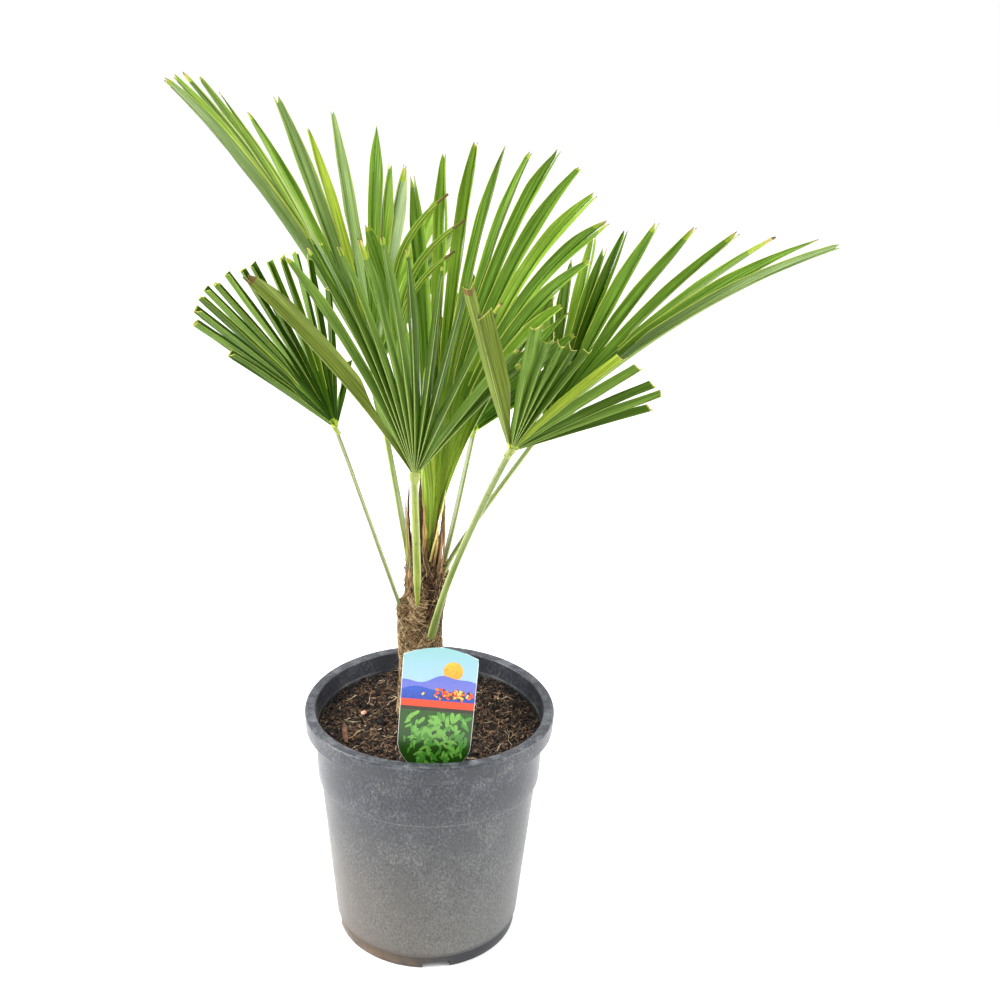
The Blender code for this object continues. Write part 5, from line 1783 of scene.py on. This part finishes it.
    def add_strands(self, builder: MeshBuilder, rng: Random) -> None:
        """Put straws and root hairs into a builder, as thin tubes that follow the bed.

        A strand runs straight with a sideways bow, at the bed's height plus an arch.
        """
        t = np.linspace(-0.5, 0.5, 12)[None, :, None]
        for count, spread, arch, thick, tones in self.strands:
            length = rng.gamma(2.2, spread / 2.2, (count, 1, 1)) + 0.003
            way = direction(rng.uniform(0.0, 360.0, count), np.zeros(count))[:, None, :2]
            side = np.stack([-way[..., 1], way[..., 0]], axis=-1)
            bow = even(rng, -0.42, 0.42, count) * t**2 + 0.03 * np.sin(t * even(rng, 6.0, 16.0, count))
            place = self.scatter(rng, count, 0.012)[:, None] + length * (t * way + bow * side)
            radius = np.linalg.norm(place, axis=2, keepdims=True)
            place = place * np.minimum(1.0, self.strand_radius / np.maximum(radius, TINY))
            above = arch * rng.random((count, 1)) * (1.0 - 3.0 * t[..., 0] ** 2) + 0.0002
            girth = thick * even(rng, 0.6, 1.5, count, 2) * (1.0 - 0.8 * (2.0 * np.abs(t[..., 0])) ** 4)
            builder.tubes(self.on_bed(place, above), girth, girth * 0.7, 4, rng.choice(tones, count))


class Ink(IntEnum):
    """Finish of a printed shape, by its place in the list of the label's materials."""

    CARD = 0
    SKY = 1
    HILL_FAR = 2
    HILL_NEAR = 3
    SUN = 4
    BAND = 5
    DARK = 6
    FIELD = 7
    LEAF = 8
    LEAF_LIGHT = 9
    BLOOM = 10


@dataclass
class PlantLabel:
    """Thin plant label with a plain design of its own: hills, a sun, a band and rows of leaves."""

    width: float = 0.060
    length: float = 0.136
    arch: float = 0.008
    outline: tuple[tuple[float, float], ...] = ((0.0, 0.009), (0.028, 0.015), (0.034, 0.0198),
                                                (0.039, 0.0243), (0.044, 0.0276), (0.051, 0.02955),
                                                (0.128, 0.030))
    place: Triple = (0.0044, -0.0800, 0.1700)
    lean: float = -7.0
    roll: float = 3.2
    card: float = 0.0005
    ink: float = 0.00004
    sprigs: int = 190
    blooms: int = 110
    inks: tuple[PrintFinish, ...] = (
        PrintFinish("label_card", (224, 228, 224), (236, 238, 234), 0.02),
        PrintFinish("label_sky", (146, 176, 200), (124, 172, 170), 0.06, (0.272, 0.304)),
        PrintFinish("label_hill_far", (104, 108, 182), (84, 96, 176), 0.14, (0.262, 0.285)),
        PrintFinish("label_hill_near", (34, 48, 126), (46, 84, 176), 0.16, (0.250, 0.275)),
        PrintFinish("label_sun", (206, 104, 28), (226, 172, 50), 0.2, (0.262, 0.295)),
        PrintFinish("label_band", (206, 58, 28), (214, 70, 36), 0.06),
        PrintFinish("label_dark", (40, 34, 22), (56, 50, 34), 0.25),
        PrintFinish("label_field", (34, 66, 16), (44, 84, 24), 0.25),
        PrintFinish("label_leaf", (64, 122, 42), (82, 142, 54)),
        PrintFinish("label_leaf_light", (98, 154, 62), (118, 168, 76)),
        PrintFinish("label_bloom", (226, 168, 60), (236, 196, 92), 0.15),
    )

    def half_at(self, up: Array) -> Array:
        """Half the card's width at heights up from the spike's end."""
        ups, halves = zip(*self.outline)
        head = np.clip((up - (self.length - self.arch)) / self.arch, 0.0, 1.0)
        return np.interp(up, ups, halves) * np.maximum(1.0 - head, 0.0) ** 0.55

    def zone(self, low: float, high: float, inset: float = 0.0004) -> Array:
        """Outline of the card between two heights."""
        up = np.linspace(low, high, 36)
        half = np.maximum(self.half_at(up) - inset, 0.0002)
        return np.concatenate([np.stack([half, up], 1), np.stack([-half, up], 1)[::-1]])

    def hill(self, low: float, level: float, swing: float, phase: float, waves: float) -> Array:
        """Outline of a rolling hill line across the card, from a height up to a wave."""
        x = np.linspace(-1.0, 1.0, 48)
        crest = (level + swing * np.sin(waves * x + phase)
                 + 0.4 * swing * np.sin(2.3 * waves * x + 2.0 * phase))
        top = np.stack([x * (self.half_at(crest) - 0.0004), crest], axis=1)
        foot = float(self.half_at(np.array(low))) - 0.0004
        return np.concatenate([[[-foot, low], [foot, low]], top[::-1]])

    @staticmethod
    def petal(centre: tuple[float, float], long: float, wide: float, turn: float,
              point: float = 0.0) -> Array:
        """Outline of an oval whose far end is drawn to a point: the width is a sine to a power."""
        t = np.linspace(0.0, FULL, 28, endpoint=False)
        x = wide * np.sin(t) * np.abs(np.sin(t / 2.0)) ** point
        y = -long * np.cos(t)
        c, s = math.cos(math.radians(turn)), math.sin(math.radians(turn))
        return np.stack([centre[0] + c * x - s * y, centre[1] + s * x + c * y], axis=1)

    def to_world(self, flat: Array) -> Array:
        """Points of the card's own axes (across, up, out of the back) placed in the plant."""
        turn = np.array(Matrix.Translation(Vector(self.place))
                        @ Matrix.Rotation(math.radians(self.roll), 4, "Y")
                        @ Matrix.Rotation(math.pi / 2 + math.radians(self.lean), 4, "X"))
        return flat @ turn[:3, :3].T + turn[:3, 3]

    def add_plate(self, builder: MeshBuilder, outline: Array, low: float, high: float, finish: int) -> None:
        """Put a flat plate of an outline into a builder, between two depths out of the card's middle."""
        area = np.sum(outline[:, 0] * np.roll(outline[:, 1], -1) - outline[:, 1] * np.roll(outline[:, 0], -1))
        outline = outline if area > 0.0 else outline[::-1]
        count = len(outline)
        points = np.concatenate([np.column_stack([outline, np.full(count, depth)]) for depth in (low, high)])
        ring = np.arange(count)
        beside = (ring + 1) % count
        sides = np.stack([ring, beside, beside + count, ring + count], axis=1)
        builder.add(self.to_world(points), [sides, ring[None, ::-1], ring[None] + count], finish)

    def layers(self) -> list[tuple[Array, float, Ink]]:
        """Outlines of the printed shapes, each with its number of ink layers and its ink."""
        rng = np.random.default_rng(3)
        backdrop = [
            (self.zone(0.092, self.length - 0.0002), Ink.SKY),
            (self.petal((0.0105, 0.1165), 0.0078, 0.0078, 0.0), Ink.SUN),
            (self.hill(0.092, 0.1085, 0.0030, 0.7, 3.1), Ink.HILL_FAR),
            (self.hill(0.088, 0.0985, 0.0026, 2.6, 2.4), Ink.HILL_NEAR),
            (self.zone(0.0845, 0.0905), Ink.BAND),
            (self.zone(0.0815, 0.0845), Ink.DARK),
            (self.zone(0.002, 0.0815), Ink.FIELD),
        ]
        small = []
        for index, (x, y) in enumerate(rng.uniform((-0.027, 0.022), (0.027, 0.0785), (self.sprigs, 2))):
            long = rng.uniform(0.0026, 0.0052)
            if abs(x) < self.half_at(np.array(y - long)) - long - 0.0006:
                petal = self.petal((x, y), long, 0.42 * long, rng.uniform(-70.0, 70.0), 0.6)
                small.append((petal, (Ink.LEAF, Ink.LEAF_LIGHT)[index % 2]))
        for index, (x, y) in enumerate(rng.normal((0.013, 0.0968), (0.0085, 0.0020), (self.blooms, 2))):
            if abs(x) < 0.0275 and 0.0915 < y < 0.103:
                size = rng.uniform(0.0006, 0.0012)
                ink = (Ink.SUN, Ink.BLOOM, Ink.BAND, Ink.DARK)[index % 4]
                small.append((self.petal((x, y), size, size, 0.0), ink))
        stack = [(outline, 1.0 + index, ink) for index, (outline, ink) in enumerate(backdrop)]
        top = 1.0 + len(backdrop)
        return stack + [(outline, top + 0.02 * index, ink) for index, (outline, ink) in enumerate(small)]

    def build(self) -> None:
        """Make the card and its printed design, layer on layer towards the viewer."""
        face, builder = self.card / 2.0, MeshBuilder()
        self.add_plate(builder, self.zone(0.0, self.length, 0.0), -face, face, Ink.CARD)
        for outline, level, ink in self.layers():
            self.add_plate(builder, outline, face - self.ink, face + self.ink * level, ink)
        materials = [finish.make() for finish in self.inks]
        hand_over(builder.build("plant_label", materials, smooth=False), "label", "plant_tag")


@dataclass(frozen=True)
class SoftLight:
    """One soft square panel of light, a metre wide."""

    name: str
    place: Triple
    aim: Triple
    power: float
    size: float = 1.0

    def build(self) -> None:
        """Hang the panel and turn it to its aim."""
        lamp = bpy.data.lights.new(self.name, "AREA")
        lamp.size = self.size
        lamp.energy = self.power
        panel = bpy.data.objects.new(self.name, lamp)
        panel.location = self.place
        panel.rotation_euler = (Vector(self.aim) - Vector(self.place)).to_track_quat("-Z", "Y").to_euler()
        bpy.context.scene.collection.objects.link(panel)


@dataclass(frozen=True)
class Studio:
    """Camera at the photograph's viewing angle, a pale floor and soft white light."""

    camera_place: Triple = (0.0536, -1.107, 0.877)
    pitch: float = 23.05
    roll: float = 1.977
    lens: float = 54.0
    sensor: float = 36.0
    floor_size: float = 44.0
    floor_colour: Triple = (0.93, 0.93, 0.925)
    sky: float = 1.08
    lights: tuple[SoftLight, ...] = (
        SoftLight("left_panel", (-1.5, -0.25, 1.05), (0.0, 0.0, 0.40), 46.0),
        SoftLight("right_panel", (1.6, -0.15, 0.95), (0.0, 0.0, 0.35), 34.0),
        SoftLight("top_panel", (-0.2, 0.1, 2.1), (0.0, 0.0, 0.3), 30.0),
    )

    def build(self) -> None:
        """Make camera, lights, background and floor, a flat sheet just under the pot."""
        scene = bpy.context.scene
        lens = bpy.data.cameras.new("photo_camera")
        lens.lens = self.lens
        lens.sensor_width = self.sensor
        lens.clip_end = 120.0
        camera = bpy.data.objects.new("photo_camera", lens)
        camera.matrix_world = (Matrix.Translation(self.camera_place)
                               @ Matrix.Rotation(math.radians(90.0 - self.pitch), 4, "X")
                               @ Matrix.Rotation(math.radians(self.roll), 4, "Z"))
        scene.collection.objects.link(camera)
        scene.camera = camera
        scene.view_settings.view_transform = "Standard"
        for light in self.lights:
            light.build()
        world = bpy.data.worlds.new("white_studio")
        world.use_nodes = True
        backdrop = world.node_tree.nodes["Background"].inputs
        backdrop["Color"].default_value = (1.0, 1.0, 1.0, 1.0)
        backdrop["Strength"].default_value = self.sky
        scene.world = world
        recipe = Recipe("floor_white", 0.9, 0.1)
        recipe.feed(recipe.shader, {"Base Color": (*self.floor_colour, 1.0)})
        square = np.array(((-0.5, -0.5, 0.0), (0.5, -0.5, 0.0), (0.5, 0.5, 0.0), (-0.5, 0.5, 0.0)))
        builder = MeshBuilder()
        builder.add(square * self.floor_size - UP * 0.0002, np.array([[0, 1, 2, 3]]))
        builder.build("studio_floor", [recipe.material])


def main() -> None:
    """Load the frame and build the plant's pieces in order."""
    logging.basicConfig(level=logging.INFO, format="%(name)s %(message)s")
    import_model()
    Studio().build()
    fronds = CrownPlan().fronds()
    NurseryPot().build()
    PottingSoil().build()
    Trunk(fronds).build()
    Crown(fronds).build()
    PlantLabel().build()


if __name__ == "__main__":
    main()
